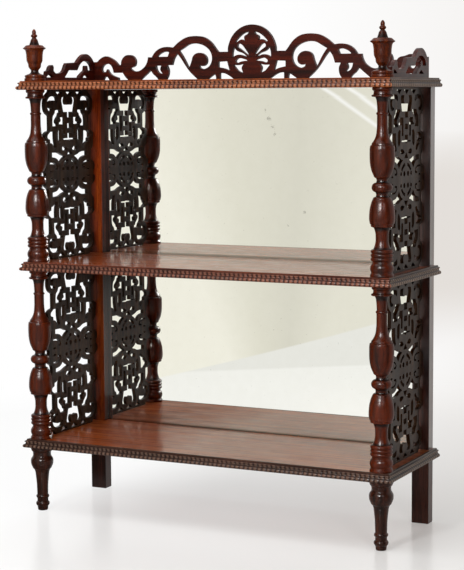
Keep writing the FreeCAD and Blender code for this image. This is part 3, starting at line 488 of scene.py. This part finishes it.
# %% Boards, posts, glass and fastenings
def dress(node, material):
    """Put one material into every slot of a CAD node."""
    mesh = nodes[node].data
    mesh.materials.clear()
    mesh.materials.append(material)


for shelf in SHELF_NAMES:
    dress(shelf + "_shelf", shelf_wood[shelf])
for side in SIDE_SIGNS:
    dress("rear_leg_" + side, rear_leg_wood)
    for bay in BAY_NAMES:
        dress(bay + "_post_" + side, post_wood[side])
for bay in BAY_NAMES:
    dress(bay + "_mirror_glass", glass_finish[bay])
    dress(bay + "_back_board", board_pine)
dress("post_dowels", dowel_beech)
dress("gallery_dowels", dowel_beech)
dress("back_board_pins", pin_iron)
print("dressed", sum(1 for node in nodes.values() if node.data.materials), "nodes")

# %% [markdown]
# ## A surface from a grid of points
# Each new piece is one array of points, rows by columns. Neighbouring points make four-sided
# faces, so their numbers follow from the grid's own numbers, and one call hands them over.


# %% Grid to mesh
def surface(name, points, material, caps=None, closed=True, attributes=None):
    """Mesh from points[row, column]: face (r, c) joins the rows r, r+1 and the columns c, c+1.

    The columns close into a ring where closed is true. Caps are "fan", which closes each end
    with a middle point, or "flat", which closes it with one many-sided face.
    """
    rows, columns = points.shape[:2]
    number = np.arange(rows * columns).reshape(rows, columns)
    right = np.roll(number, -1, axis=1) if closed else number[:, 1:]
    left = number if closed else number[:, :-1]
    quads = np.stack([left[:-1], right[:-1], right[1:], left[1:]], axis=-1).reshape(-1, 4)
    vertices = points.reshape(-1, 3)
    faces = quads.tolist()
    if caps == "fan":
        middles = points[[0, -1]].mean(axis=1)
        vertices = np.vstack([vertices, middles])
        low, high = rows * columns, rows * columns + 1
        faces += np.stack([np.full(columns, low), right[0], left[0]], axis=-1).tolist()
        faces += np.stack([np.full(columns, high), left[-1], right[-1]], axis=-1).tolist()
    elif caps == "flat":
        faces += [number[0, ::-1].tolist(), number[-1].tolist()]
    mesh = bpy.data.meshes.new(name)
    mesh.from_pydata(vertices.tolist(), [], faces)
    for key, values in (attributes or {}).items():
        flat = np.zeros(len(vertices), np.float32)
        flat[:values.size] = values.reshape(-1)
        mesh.attributes.new(key, "FLOAT", "POINT").data.foreach_set("value", flat)
    mesh.shade_smooth()
    mesh.materials.append(material)
    piece = bpy.data.objects.new(name, mesh)
    bpy.context.scene.collection.objects.link(piece)
    return piece


def stand_for(piece, node):
    """The piece rides on the case and hides the CAD node."""
    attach(piece, "root")
    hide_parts(node)
    return piece


print("a ring of 4 columns and 3 rows closes into", 4 * (3 - 1), "faces, and its caps")

# %% [markdown]
# ## Profiles made of arcs
# A turner and a moulding plane both work along a profile of beads, hollows and fillets. A table
# of steps holds it: height, distance out, and swell, which is how far the curve that leads to
# this step stands off the straight line. A swell makes a circular arc, so the profile stays as
# crisp as a tool leaves it. Points crowd near the ends of each arc, so that smooth shading
# keeps the corners sharp.

# %% Arcs through a table of steps
ARC_STATIONS = np.array([0.0, 0.05, 0.2, 0.4, 0.6, 0.8, 0.95])
LEAST_HALF_TURN = 1e-4          # radians, so that a straight step still has a circle
GROOVE_SLOPE = 0.8


def profile_curve(steps):
    """Points (out, up) along the profile.

    With chord c and swell s the arc turns through 4 atan(2 s / c). At angle a from its middle
    it lies c sin(a) / (2 sin(h)) along the chord from the middle, and c (cos(a) - cos(h)) /
    (2 sin(h)) off it, where h is half of the turn.
    """
    up, out, swell = np.array(steps, float).T
    start = np.stack([out[:-1], up[:-1]], axis=1)[:, None]
    end = np.stack([out[1:], up[1:]], axis=1)[:, None]
    chord = end - start
    length = np.linalg.norm(chord, axis=-1, keepdims=True)
    half = np.maximum(2.0 * np.arctan(2.0 * np.abs(swell[1:, None, None]) / length),
                      LEAST_HALF_TURN)
    angle = (2.0 * ARC_STATIONS[None, :, None] - 1.0) * half
    along = 0.5 + 0.5 * np.sin(angle) / np.sin(half)
    off = length * (np.cos(angle) - np.cos(half)) / (2.0 * np.sin(half))
    off = off * np.sign(swell[1:, None, None])
    across = chord[..., ::-1] * np.array([1.0, -1.0]) / length
    points = start + chord * along + across * off
    return np.vstack([points.reshape(-1, 2), end[-1]])


def groove_depth(curve, deepest):
    """How deep each point lies in a groove, 0 to 1.

    A cone of the groove slope stands on every point of the profile, and the depth is how far
    the highest cone stands above the point, over the deepest groove in millimetres.
    """
    out, up = curve[:, 0], curve[:, 1]
    cones = out[None, :] - GROOVE_SLOPE * np.abs(up[None, :] - up[:, None])
    return np.clip((cones.max(axis=1) - out) / deepest, 0.0, 1.0)


print("points on each arc:", len(ARC_STATIONS))

# %% [markdown]
# ## Turned columns, legs and finials
# They are turned on a lathe, so each is one profile carried round an axis. Ninety-six facets
# round a 54 mm column leave each under 2 mm, too fine to see. The steps are those of the CAD
# source, in millimetres above the foot and from the axis, and the leg is 0.2 mm slimmer.

# %% Profiles of the turned work
COLUMN_STEPS = (
    (0, 24.8, 0), (4.5, 24.8, 0.3), (8, 22.6, 0), (9.5, 22.6, 0),
    (28, 20.4, 3.4), (32, 19.9, 0), (33, 21.2, 0),
    (41.2, 21.4, 2.7), (49.4, 21.4, 2.5), (57, 21.2, 2.6),
    (58, 18.2, 0), (76, 13.4, -0.9), (88, 13.5, 0), (102.5, 17.4, -0.6),
    (105, 23.4, 0), (109.6, 23.8, 0), (110.4, 25.2, 0),
    (122, 27.2, 0.4), (135, 26.6, 0.2), (150, 24.0, 0.5),
    (162, 19.6, 0.5), (166, 16.9, 0.5), (167.2, 13.4, 0),
    (172, 12.6, -0.2), (176, 14.2, -0.3), (177.3, 16.8, 0),
    (195.3, 16.8, 5.5), (196.6, 13.0, 0),
    (201, 11.7, -0.2), (205, 12.9, -0.2), (207.4, 16.6, 0),
    (211.5, 18.4, 0.1), (223, 23.1, 0.3), (240, 26.0, 0.4), (262, 26.3, 0.2),
    (272.5, 25.2, 0.4), (274, 22.6, 0), (277.5, 22.0, 0),
    (302, 12.2, -2.3), (316, 11.3, -0.2), (336, 11.2, 0),
    (341.6, 11.0, 1.9), (342, 10.6, 0), (348, 10.9, 0),
    (364, 12.2, -0.2), (372.6, 15.2, -0.5), (373.4, 21.6, 0),
    (377.2, 21.6, 1.1), (378.2, 18.8, 0), (385, 18.2, -0.2),
    (387.4, 21.2, 0), (393, 21.0, 0.4),
)
LEG_STEPS = (
    (0, 10.2, 0), (3, 11.8, 0.4), (9, 12.2, 0), (10.5, 13.4, 0),
    (20, 14.4, 1.9), (21, 12.6, 0), (28, 12.6, 0), (29.5, 13.4, 0),
    (36.5, 13.4, 1.8), (37.5, 12.7, 0), (60, 13.3, 0),
    (88, 16.0, -0.2), (97.5, 19.0, -0.5), (99.5, 21.2, 0),
    (104, 23.2, 0.2), (115, 26.1, 0.8), (125.5, 23.4, 1.2), (128.5, 21.6, 0),
    (134, 20.9, -0.3), (138, 21.3, 0), (141, 24.0, -0.3),
    (143.5, 24.6, 0), (145, 25.6, 0), (150, 25.6, 0.3),
)
FINIAL_STEPS = (
    (0, 23.6, 0), (6, 23.6, 0.4), (6.6, 21.5, 0), (7.6, 21.5, 0), (8.2, 22.6, 0),
    (13, 22.6, 0.3), (15, 17.0, -0.3), (19.5, 9.2, -0.9), (24, 8.6, -0.2),
    (30.5, 13.5, 0), (32, 14.1, 0.1), (38.5, 14.8, 0),
    (45.5, 18.0, 0.1), (58, 18.7, 0.1), (66, 19.9, -0.1), (70, 21.4, -0.2),
    (72.6, 25.4, 0), (74.6, 25.8, 0.3), (75.6, 23.6, 0),
    (80.4, 18.4, 0.3), (81.2, 11.6, 0), (92.5, 7.9, -0.2), (97.5, 4.3, 0),
    (98.3, 5.2, 0), (105, 4.9, 2.3), (106, 4.4, 0),
    (110.5, 4.6, 0.2), (117, 0.4, 0.9),
)
print("steps of column, leg and finial:", len(COLUMN_STEPS), len(LEG_STEPS), len(FINIAL_STEPS))

# %% Turning them
FACETS = 96
DEEPEST_GROOVE = 3.2            # millimetres, at which the dirt and painted shade in a groove are darkest
DEEPEST_ON_FINIAL = 9.0         # the steps under its cap are deep, but open, so they take less dirt and painted shade


def lathe(name, steps, side, foot, material, deepest=DEEPEST_GROOVE):
    """Turned piece: a point (out, up) of the profile goes round to
    (x0 + out cos t, y0 + out sin t, foot + up) for t from 0 to a full turn."""
    curve = profile_curve(steps)
    turn = np.linspace(0.0, 2.0 * np.pi, FACETS, endpoint=False)
    out, up = curve[:, :1] * MM, curve[:, 1:] * MM
    points = np.stack([SIDE_SIGNS[side] * column_axis[0] + out * np.cos(turn),
                       column_axis[1] + out * np.sin(turn),
                       foot + up + 0.0 * turn], axis=-1)
    hollow = np.repeat(groove_depth(curve, deepest)[:, None], FACETS, axis=1)
    return surface(name, points, material, caps="fan", attributes={"hollow": hollow})


for side in SIDE_SIGNS:
    stand_for(lathe("turned_leg_" + side, LEG_STEPS, side, 0.0, leg_wood),
              "front_leg_" + side)
    stand_for(lathe("turned_finial_" + side, FINIAL_STEPS, side, board_high[2], finial_wood,
                    deepest=DEEPEST_ON_FINIAL),
              "finial_" + side)
    for bay, below in (("lower", "bottom"), ("upper", "middle")):
        foot = shelf_bottoms[below] + board_thickness
        stand_for(lathe("turned_{}_column_{}".format(bay, side), COLUMN_STEPS, side, foot,
                        turned_wood), "{}_column_{}".format(bay, side))
print("turned pieces of", FACETS * (len(COLUMN_STEPS) - 1) * len(ARC_STATIONS), "faces at most")

# %% [markdown]
# ## Rippled shelf mouldings
# Ripple moulding is cut by a machine whose cutter rises and falls as the strip passes, so that
# the plain profile gets a row of ribs across it, here 84 along the front and 28 along a side.
# The ribs run over the torus and over the small bead, and catch the light twice. The surface is
# the plain profile carried along the shelf, with a wave taken off it. At a mitre the strip ends
# on a slant: a point further out reaches further along, so the two strips meet on one plane.

# %% Section and ripple
MOULDING_STEPS = (
    (0.0, 9.7, 0.0), (8.6, 9.7, 4.3), (13.3, 9.3, -0.6), (16.3, 9.3, 1.5), (17.3, 6.5, 0.0),
    (20.0, 6.5, 0.0),
)
RIBS_ON_FRONT = 84
RIBS_ON_SIDE = 28
STATIONS_PER_RIB = 8
RIPPLE_DEPTH = 1.2              # millimetres between crest and hollow
RIPPLED_BANDS = ((-0.2, 8.8), (8.8, 17.0))      # the torus, then the cove with its bead
SEAM_HEIGHTS = (8.8, 17.2)      # millimetres up, where dirt lies along the strip


def ripple_section():
    """Closed section (out, up) in metres, and how much of the ripple each point takes."""
    curve = profile_curve(MOULDING_STEPS)
    up = curve[:, 1]
    share = sum(np.sin(np.pi * np.clip((up - low) / (high - low), 0.0, 1.0)) ** 0.4
                for low, high in RIPPLED_BANDS)
    back = np.array([[0.0, 20.0], [0.0, 0.0]])
    closed = np.vstack([curve, back]) * MM
    return closed, np.concatenate([share, [0.0, 0.0]])


def ripple_strip(name, length_at, count, place, material):
    """Rippled strip: at station s in 0..1 the section stands at length_at(s, out), and each
    point moves in by depth * share * (1 - |cos|^0.8 of its place in the rib)."""
    section, share = ripple_section()
    stations = np.linspace(0.0, 1.0, count * STATIONS_PER_RIB + 1)[:, None]
    along = length_at(stations, section[None, :, 0])
    pitch = (case_high[0] - case_low[0]) / RIBS_ON_FRONT
    wave = np.abs(np.cos(np.pi * along / pitch)) ** 0.8
    dip = share[None, :] * (1.0 - wave)
    out = section[None, :, 0] - RIPPLE_DEPTH * MM * dip
    up = section[None, :, 1] + 0.0 * out
    points = np.stack(place(along, out, up), axis=-1)
    # Dirt and painted shade fill the hollows and lie within a millimetre of each seam.
    seam = np.minimum(*(np.abs(up / MM - height) for height in SEAM_HEIGHTS))
    hollow = np.maximum(np.clip(1.3 * dip, 0.0, 1.0), np.clip(1.0 - seam, 0.0, 0.9))
    return surface(name, points, material, caps="flat",
                   attributes={"hollow": hollow, "crest": share[None, :] * wave})


print("ribs:", len(SHELF_NAMES) * (RIBS_ON_FRONT + 2 * RIBS_ON_SIDE), "on nine strips")

# %% Strips round the shelves
def front_strip(shelf):
    """Mitred at both ends: half the length grows with the distance out."""
    level = shelf_bottoms[shelf]

    def length_at(s, out):
        return (2.0 * s - 1.0) * (board_high[0] + out)

    def place(along, out, up):
        return along + 0.0 * out, board_low[1] - out, level + up

    return ripple_strip("rippled_front_" + shelf, length_at, RIBS_ON_FRONT, place,
                        moulding_wood[shelf, "X"])


def side_strip(shelf, side):
    """Square at the back, mitred at the front; the left-hand strip is walked the other way."""
    level = shelf_bottoms[shelf]
    sign = SIDE_SIGNS[side]

    def length_at(s, out):
        travelled = s if sign > 0 else 1.0 - s
        front = board_low[1] - out
        return front + travelled * (board_high[1] - front)

    def place(along, out, up):
        return sign * (board_high[0] + out), along + 0.0 * out, level + up

    return ripple_strip("rippled_{}_{}".format(side, shelf), length_at, RIBS_ON_SIDE, place,
                        moulding_wood[shelf, "Y"])


for shelf in SHELF_NAMES:
    stand_for(front_strip(shelf), shelf + "_moulding_front")
    for side in SIDE_SIGNS:
        stand_for(side_strip(shelf, side), "{}_moulding_{}".format(shelf, side))
print("ripple pitch", round((case_high[0] - case_low[0]) / RIBS_ON_FRONT / MM, 2), "mm")

# %% [markdown]
# ## Sawn fretwork and gallery
# The end panels and the gallery are thin boards cut with a fretsaw. Their outlines are in the
# CAD solids already. What a saw and sandpaper add is a slightly rounded arris, which catches a
# thin line of light. A copy of each solid is merged into one clean mesh, and only its sharp
# edges are bevelled.


# %% Softened copies
ARRIS_WIDTH = 0.45 * MM
MERGE_REACH = 0.002 * MM
SAWN_ANGLE = math.radians(60.0)         # an edge that turns by more is bevelled
SMOOTH_ANGLE = math.radians(40.0)       # and one that turns by less is shaded smooth


def softened(name, node, material):
    """Copy of a sawn panel with its arrises rounded by a narrow bevel."""
    mesh = nodes[node].data.copy()
    mesh.name = name
    work = bmesh.new()
    work.from_mesh(mesh)
    bmesh.ops.remove_doubles(work, verts=work.verts, dist=MERGE_REACH)
    rims = [edge for edge in work.edges
            if len(edge.link_faces) == 2 and edge.calc_face_angle() > SAWN_ANGLE]
    bmesh.ops.bevel(work, geom=rims, offset=ARRIS_WIDTH, segments=2, profile=0.5,
                    affect="EDGES", clamp_overlap=False, offset_type="OFFSET")
    bmesh.ops.triangulate(work, faces=[f for f in work.faces if len(f.verts) > 4])
    for edge in work.edges:
        edge.smooth = len(edge.link_faces) == 2 and edge.calc_face_angle() < SMOOTH_ANGLE
    for face in work.faces:
        face.smooth = True
    work.to_mesh(mesh)
    work.free()
    mesh.materials.clear()
    mesh.materials.append(material)
    piece = bpy.data.objects.new(name, mesh)
    bpy.context.scene.collection.objects.link(piece)
    weighted = piece.modifiers.new("even_shading", "WEIGHTED_NORMAL")
    weighted.keep_sharp = True
    return stand_for(piece, node)


for side in SIDE_SIGNS:
    softened("sawn_side_gallery_" + side, "side_gallery_" + side, gallery_wood[side])
    for bay in BAY_NAMES:
        softened("sawn_{}_fret_{}".format(bay, side), "{}_fret_{}".format(bay, side), fret_wood)
softened("sawn_back_gallery", "back_gallery", gallery_wood["back"])

# %% [markdown]
# ## Camera
# The camera stands to the right of the middle, 3.5 m in front of the piece and a little below
# the top shelf, and looks slightly down through a long lens. It looks along its own -Z, so the
# third column of its matrix is the direction backwards.

# %% The camera
IMAGE_HEIGHT = 570
FOCAL_PIXELS = 1723.17
CAMERA_PLACE = np.array([1738.65, -3458.97, 965.98]) * MM
YAW, PITCH, ROLL = np.radians([26.504, 6.359, -0.377])
SENSOR_MM = 36.0                # belongs to the longer side of the picture, here its height
forward = np.array([-np.sin(YAW) * np.cos(PITCH), np.cos(YAW) * np.cos(PITCH), -np.sin(PITCH)])
level_right = np.array([np.cos(YAW), np.sin(YAW), 0.0])
level_up = np.cross(level_right, forward)
right = level_right * np.cos(ROLL) + level_up * np.sin(ROLL)
upright = -level_right * np.sin(ROLL) + level_up * np.cos(ROLL)


def posed(x_axis, y_axis, z_axis, place):
    """World matrix whose columns are the three unit axes and the place."""
    pose = np.identity(4)
    pose[:3] = np.stack([x_axis, y_axis, z_axis, place], axis=1)
    return Matrix(pose.tolist())


lens = bpy.data.cameras.new("long_lens")
lens.sensor_width = SENSOR_MM
lens.lens = FOCAL_PIXELS / IMAGE_HEIGHT * SENSOR_MM
lens.clip_end = 1000.0
camera = bpy.data.objects.new("camera", lens)
camera.matrix_world = posed(right, upright, -forward, CAMERA_PLACE)
bpy.context.scene.collection.objects.link(camera)
bpy.context.scene.camera = camera
print("lens", round(lens.lens, 1), "mm, camera at", np.round(CAMERA_PLACE, 2))

# %% [markdown]
# ## The room and the backdrop
# The piece stands on a white sheet. Near it the sheet is a real white surface that takes the
# shadow; further off it turns into plain white, so that no horizon shows. The world is white
# behind the piece. In front of it stands the room, which the looking-glass shows: a cream wall
# to the left, crossed by two pale rails, and the edge of the white sheet where it ends. Apart
# from the rails, room and backdrop depend only on the level direction, so one function can paint
# them on the world and on the far floor, and no line shows where the two meet.

# %% What stands around the piece
BACKDROP_WHITE = linear("#ffffff")
BACKDROP_SHADE = linear("#f5f3f1")      # the right-hand end of the paper wall, with less light
FLOOR_SHADE = linear("#e4dfda")         # and the same end of the paper floor
ROOM_CREAM = ((0.0, "#e8e6da"), (0.35, "#dcdace"), (0.65, "#e4e2d5"), (1.0, "#f5f3e8"))
ROOM_DARK = linear("#3c3b39")
PAPER_TURN = (-0.42, -0.31)     # level direction, as its x: paper is white, then shaded
CREAM_TURN = (-0.36, -0.50)     # level directions between which the tones of the wall run
WALL_MIDDLE = -0.45             # level direction in which the cream wall stands
WALL_REACH = (0.40, 0.30)       # how far from its middle the wall is gone, and is whole
ROOM_TURN = (-0.1, 0.2)         # level direction, as its y: the room, then the paper
RAIL_SLOPE = (0.506, 0.862)     # unit normal of the two rails that cross the wall on a slant
RAIL_PLACES = (-0.2172, -0.2086)
RAIL_WIDTHS = (0.0019, 0.0002)  # distance from a rail's middle where it is gone, and is whole


def is_seen(tree):
    """One for rays from the camera, from gloss and through glass: they show the backdrop."""
    path = add_node(tree, "LightPath")
    shown = path["Is Camera Ray"]
    for kind in ("Is Glossy Ray", "Is Transmission Ray"):
        shown = add_node(tree, "Math", {0: shown, 1: path[kind]}, operation="MAXIMUM")[0]
    return shown


def away_from(tree, value, middle):
    """Distance of the value from a middle: the difference without its sign."""
    difference = add_node(tree, "Math", {0: value, 1: middle}, operation="SUBTRACT")
    return add_node(tree, "Math", {0: difference[0]}, operation="ABSOLUTE")[0]


def cream_wall(tree, parts, rise):
    """The wall's tones run with x, and a rail lies where rise * b - a * x / y is its place."""
    along_wall = add_node(tree, "MapRange",
                          {"Value": parts["X"], "From Min": CREAM_TURN[0],
                           "From Max": CREAM_TURN[1]})["Result"]
    wall = add_node(tree, "ValToRGB", {"Fac": along_wall}, ROOM_CREAM)["Color"]
    sideways = add_node(tree, "Math", {0: parts["X"], 1: parts["Y"]}, operation="DIVIDE")[0]
    sloped = add_node(tree, "Math", {0: sideways, 1: -RAIL_SLOPE[0]}, operation="MULTIPLY")[0]
    sloped = add_node(tree, "Math", {0: rise, 1: RAIL_SLOPE[1], 2: sloped},
                      operation="MULTIPLY_ADD")[0]
    for rail in RAIL_PLACES:
        wall = fade(tree, away_from(tree, sloped, rail), *RAIL_WIDTHS, wall, BACKDROP_WHITE,
                    most=0.85)
    return wall


def surroundings(tree, place, shade, rise):
    """Colour of what stands in the level direction of a point, (x, y) turned to length 1.

    A ray from the camera always meets the paper. Any other ray meets it behind the piece only,
    and in front of it meets the room, which is dark apart from the cream wall. Rise is height
    over distance forward, which with x / y says where the rails cross the wall.
    """
    level = add_node(tree, "VectorMath", {0: place, 1: (1.0, 1.0, 0.0)}, operation="MULTIPLY")[0]
    level = add_node(tree, "VectorMath", {0: level}, operation="NORMALIZE")[0]
    parts = add_node(tree, "SeparateXYZ", {0: level})
    paper = fade(tree, parts["X"], *PAPER_TURN, BACKDROP_WHITE, shade)
    room = fade(tree, away_from(tree, parts["X"], WALL_MIDDLE), *WALL_REACH, ROOM_DARK,
                cream_wall(tree, parts, rise))
    around = fade(tree, parts["Y"], *ROOM_TURN, room, paper, smooth=True)
    from_camera = add_node(tree, "LightPath")["Is Camera Ray"]
    return add_node(tree, "Mix", {"Factor": from_camera, 6: around, 7: paper},
                    data_type="RGBA")[2]


print("cream wall in linear light:", np.round(linear(ROOM_CREAM[0][1]), 3))

# %% [markdown]
# ## The white sheet
# Paper is a dull white surface that takes a shadow and a faint reflection of the legs. The
# shader holds that, and plain light of the backdrop's tone replaces it away from the piece. In
# the glass one more thing shows: the sheet ends on a curve in front of the piece, and past it
# lies the room.

# %% Floor
SHEET_WHITE = linear("#f7f7f6")
GLASS_SHEET = (linear("#f6f6f3"), linear("#ecece8"))    # as the glass shows it, near and far
GLASS_HEIGHT = 0.93             # metres, the middle of the part of the glass that shows rails
LEAST_PLAIN = 0.33              # share of plain light close to the piece
WASHED_PLAIN = 0.85             # and on the left, where the shadow is washed out
SHEET_CURVE = (0.2322, 0.0301)  # the sheet ends where x = -1.34 - 0.2322 y - 0.0301 y^2
SHEET_END = (-1.35, -1.33)
SHEET_FRONT, SHEET_FAR = -0.9, -4.0     # that end is drawn between these two places on y
FLOOR_REACH = 300.0


def plain_share(tree, spot, distance):
    """Share of plain light, for rays that show the floor: it grows with distance and leftwards."""
    share = None
    for value, start, end, most in ((distance, 0.5, 1.9, 1.0),
                                    (spot["X"], -0.10, -0.55, WASHED_PLAIN)):
        one = add_node(tree, "MapRange",
                       {"Value": value, "From Min": start, "From Max": end,
                        "To Min": LEAST_PLAIN, "To Max": most},
                       interpolation_type="SMOOTHSTEP")["Result"]
        share = one if share is None else add_node(tree, "Math", {0: share, 1: one},
                                                   operation="MAXIMUM")[0]
    return add_node(tree, "Math", {0: share, 1: is_seen(tree)}, operation="MULTIPLY")[0]


def sheet_in_glass(tree, spot, glossy):
    """One where a glossy ray meets the sheet in front of the piece, inside its curved end."""
    edge = add_node(tree, "Math",
                    {0: spot["Y"], 1: SHEET_CURVE[1], 2: SHEET_CURVE[0]},
                    operation="MULTIPLY_ADD")[0]
    edge = add_node(tree, "Math", {0: spot["Y"], 1: edge, 2: spot["X"]},
                    operation="MULTIPLY_ADD")[0]
    sheet = add_node(tree, "MapRange",
                     {"Value": edge, "From Min": SHEET_END[0],
                      "From Max": SHEET_END[1]})["Result"]
    in_front = add_node(tree, "Math", {0: spot["Y"], 1: SHEET_FRONT}, operation="LESS_THAN")
    near = add_node(tree, "Math", {0: spot["Y"], 1: SHEET_FAR}, operation="GREATER_THAN")
    for condition in (in_front[0], near[0], glossy):
        sheet = add_node(tree, "Math", {0: sheet, 1: condition}, operation="MULTIPLY")[0]
    return sheet


def plain_tone(tree, place, spot, distance):
    """Tone of the plain light on the floor, for each kind of ray."""
    path = add_node(tree, "LightPath")
    # Towards the horizon the floor takes the tone of the paper wall behind it.
    shade = fade(tree, distance, 16.0, 40.0, FLOOR_SHADE, BACKDROP_SHADE)
    rise = add_node(tree, "Math", {0: GLASS_HEIGHT, 1: spot["Y"]}, operation="DIVIDE")[0]
    far_tone = surroundings(tree, place, shade, rise)
    # Near the piece the tone runs evenly from white on the left to the shade on the right.
    near_tone = fade(tree, spot["X"], -0.45, 0.45, BACKDROP_WHITE, FLOOR_SHADE)
    close = add_node(tree, "MapRange",
                     {"Value": distance, "From Min": 5.0, "From Max": 1.5},
                     interpolation_type="SMOOTHSTEP")["Result"]
    close = add_node(tree, "Math", {0: close, 1: path["Is Camera Ray"]}, operation="MULTIPLY")[0]
    seen_tone = add_node(tree, "Mix", {"Factor": close, 6: far_tone, 7: near_tone},
                         data_type="RGBA")[2]
    # In the glass the sheet is bright close by and greyer past a line in front of the piece.
    line = add_node(tree, "Math", {0: spot["X"], 1: 0.76, 2: spot["Y"]},
                    operation="MULTIPLY_ADD")[0]
    sheet_tone = fade(tree, line, -2.27, -2.33, *GLASS_SHEET)
    on_sheet = sheet_in_glass(tree, spot, path["Is Glossy Ray"])
    return add_node(tree, "Mix", {"Factor": on_sheet, 6: seen_tone, 7: sheet_tone},
                    data_type="RGBA")[2]


def white_sheet():
    """White paper, which takes a shadow near the piece and is plain light further off."""
    material, tree, shader = new_finish("white_paper_sheet")
    fill_inputs(tree, shader, {"Base Color": SHEET_WHITE, "Roughness": 0.2,
                               "Specular IOR Level": 0.45})
    place, spot = spot_of(tree)
    distance = add_node(tree, "VectorMath", {0: place}, operation="LENGTH")["Value"]
    plain = add_node(tree, "Emission", {"Color": plain_tone(tree, place, spot, distance)})
    mixed = add_node(tree, "MixShader",
                     {0: plain_share(tree, spot, distance), 1: shader.outputs[0],
                      2: plain[0]})
    fill_inputs(tree, tree.nodes["Material Output"], {"Surface": mixed[0]})
    return material


floor_points = np.array([[[-FLOOR_REACH, -FLOOR_REACH, 0.0], [FLOOR_REACH, -FLOOR_REACH, 0.0]],
                         [[-FLOOR_REACH, FLOOR_REACH, 0.0], [FLOOR_REACH, FLOOR_REACH, 0.0]]])
floor = surface("floor", floor_points, white_sheet(), closed=False)
print("floor", 2 * FLOOR_REACH, "m square")

# %% [markdown]
# ## World and lamps
# The world does two jobs. What is seen of it is the backdrop and the room, and what lights the
# piece is a soft fill, stronger from behind than from the front. Area lamps add the shape: one
# on each side of the camera, and a wide one above. A fourth puts a glint on polish alone,
# because old shellac shows a soft streak on each curve.

# %% The world
world = bpy.data.worlds.new("studio")
bpy.context.scene.world = world
world.use_nodes = True
sky = world.node_tree
heading = add_node(sky, "TexCoord")["Generated"]
heading_parts = add_node(sky, "SeparateXYZ", {0: heading})
forward_part = add_node(sky, "Math", {0: heading_parts["Y"], 1: -1.0}, operation="MULTIPLY")[0]
steepness = add_node(sky, "Math", {0: heading_parts["Z"], 1: forward_part},
                     operation="DIVIDE")[0]
backdrop = add_node(sky, "Background",
                    {"Color": surroundings(sky, heading, BACKDROP_SHADE, steepness)})
fill_strength = add_node(sky, "MapRange",
                         {"Value": heading_parts["Y"], "From Min": -0.3, "From Max": 0.5,
                          "To Min": 0.16, "To Max": 0.6})["Result"]
fill = add_node(sky, "Background", {"Color": BACKDROP_WHITE, "Strength": fill_strength})
both = add_node(sky, "MixShader", {0: is_seen(sky), 1: fill[0], 2: backdrop[0]})
fill_inputs(sky, sky.nodes["World Output"], {"Surface": both[0]})
print("world:", len(sky.nodes), "nodes")

# %% The lamps
FRONT_TARGET = (0.0, 0.0, 0.6)


def softbox(name, place, target, width, height, power):
    """Rectangular area lamp at place, turned to face target."""
    lamp = bpy.data.lights.new(name, "AREA")
    lamp.shape = "RECTANGLE"
    lamp.size = width
    lamp.size_y = height
    lamp.energy = power
    holder = bpy.data.objects.new(name, lamp)
    away = np.array(place) - np.array(target)
    away = away / np.linalg.norm(away)
    across = np.cross([0.0, 0.0, 1.0], away)
    across = across / np.linalg.norm(across)
    holder.matrix_world = posed(across, np.cross(away, across), away, place)
    holder.visible_camera = False
    bpy.context.scene.collection.objects.link(holder)
    return holder


highlight = softbox("highlight_softbox", (0.55, -3.1, 1.9), FRONT_TARGET, 0.6, 1.0, 165.0)
highlight.visible_diffuse = False
# It puts a glint on polish alone: it lights no dull surface, and is out for rays that met one.
highlight.data.use_nodes = True
glint = highlight.data.node_tree
met_dull = add_node(glint, "LightPath")["Diffuse Depth"]
strength = add_node(glint, "Math", {0: met_dull, 1: 0.5}, operation="LESS_THAN")
fill_inputs(glint, glint.nodes["Emission"], {"Strength": strength[0]})
softbox("left_softbox", (-0.14, -3.1, 1.8), FRONT_TARGET, 0.42, 1.2, 44.0)
softbox("right_softbox", (2.2, -2.3, 1.8), FRONT_TARGET, 0.42, 1.2, 17.0)
softbox("top_softbox", (-0.5, -0.7, 3.0), (0.0, 0.0, 0.3), 2.2, 2.2, 56.0)

# %% [markdown]
# ## Finish
# Standard view transform keeps the colours as written.

# %% Finish
bpy.context.scene.view_settings.view_transform = "Standard"
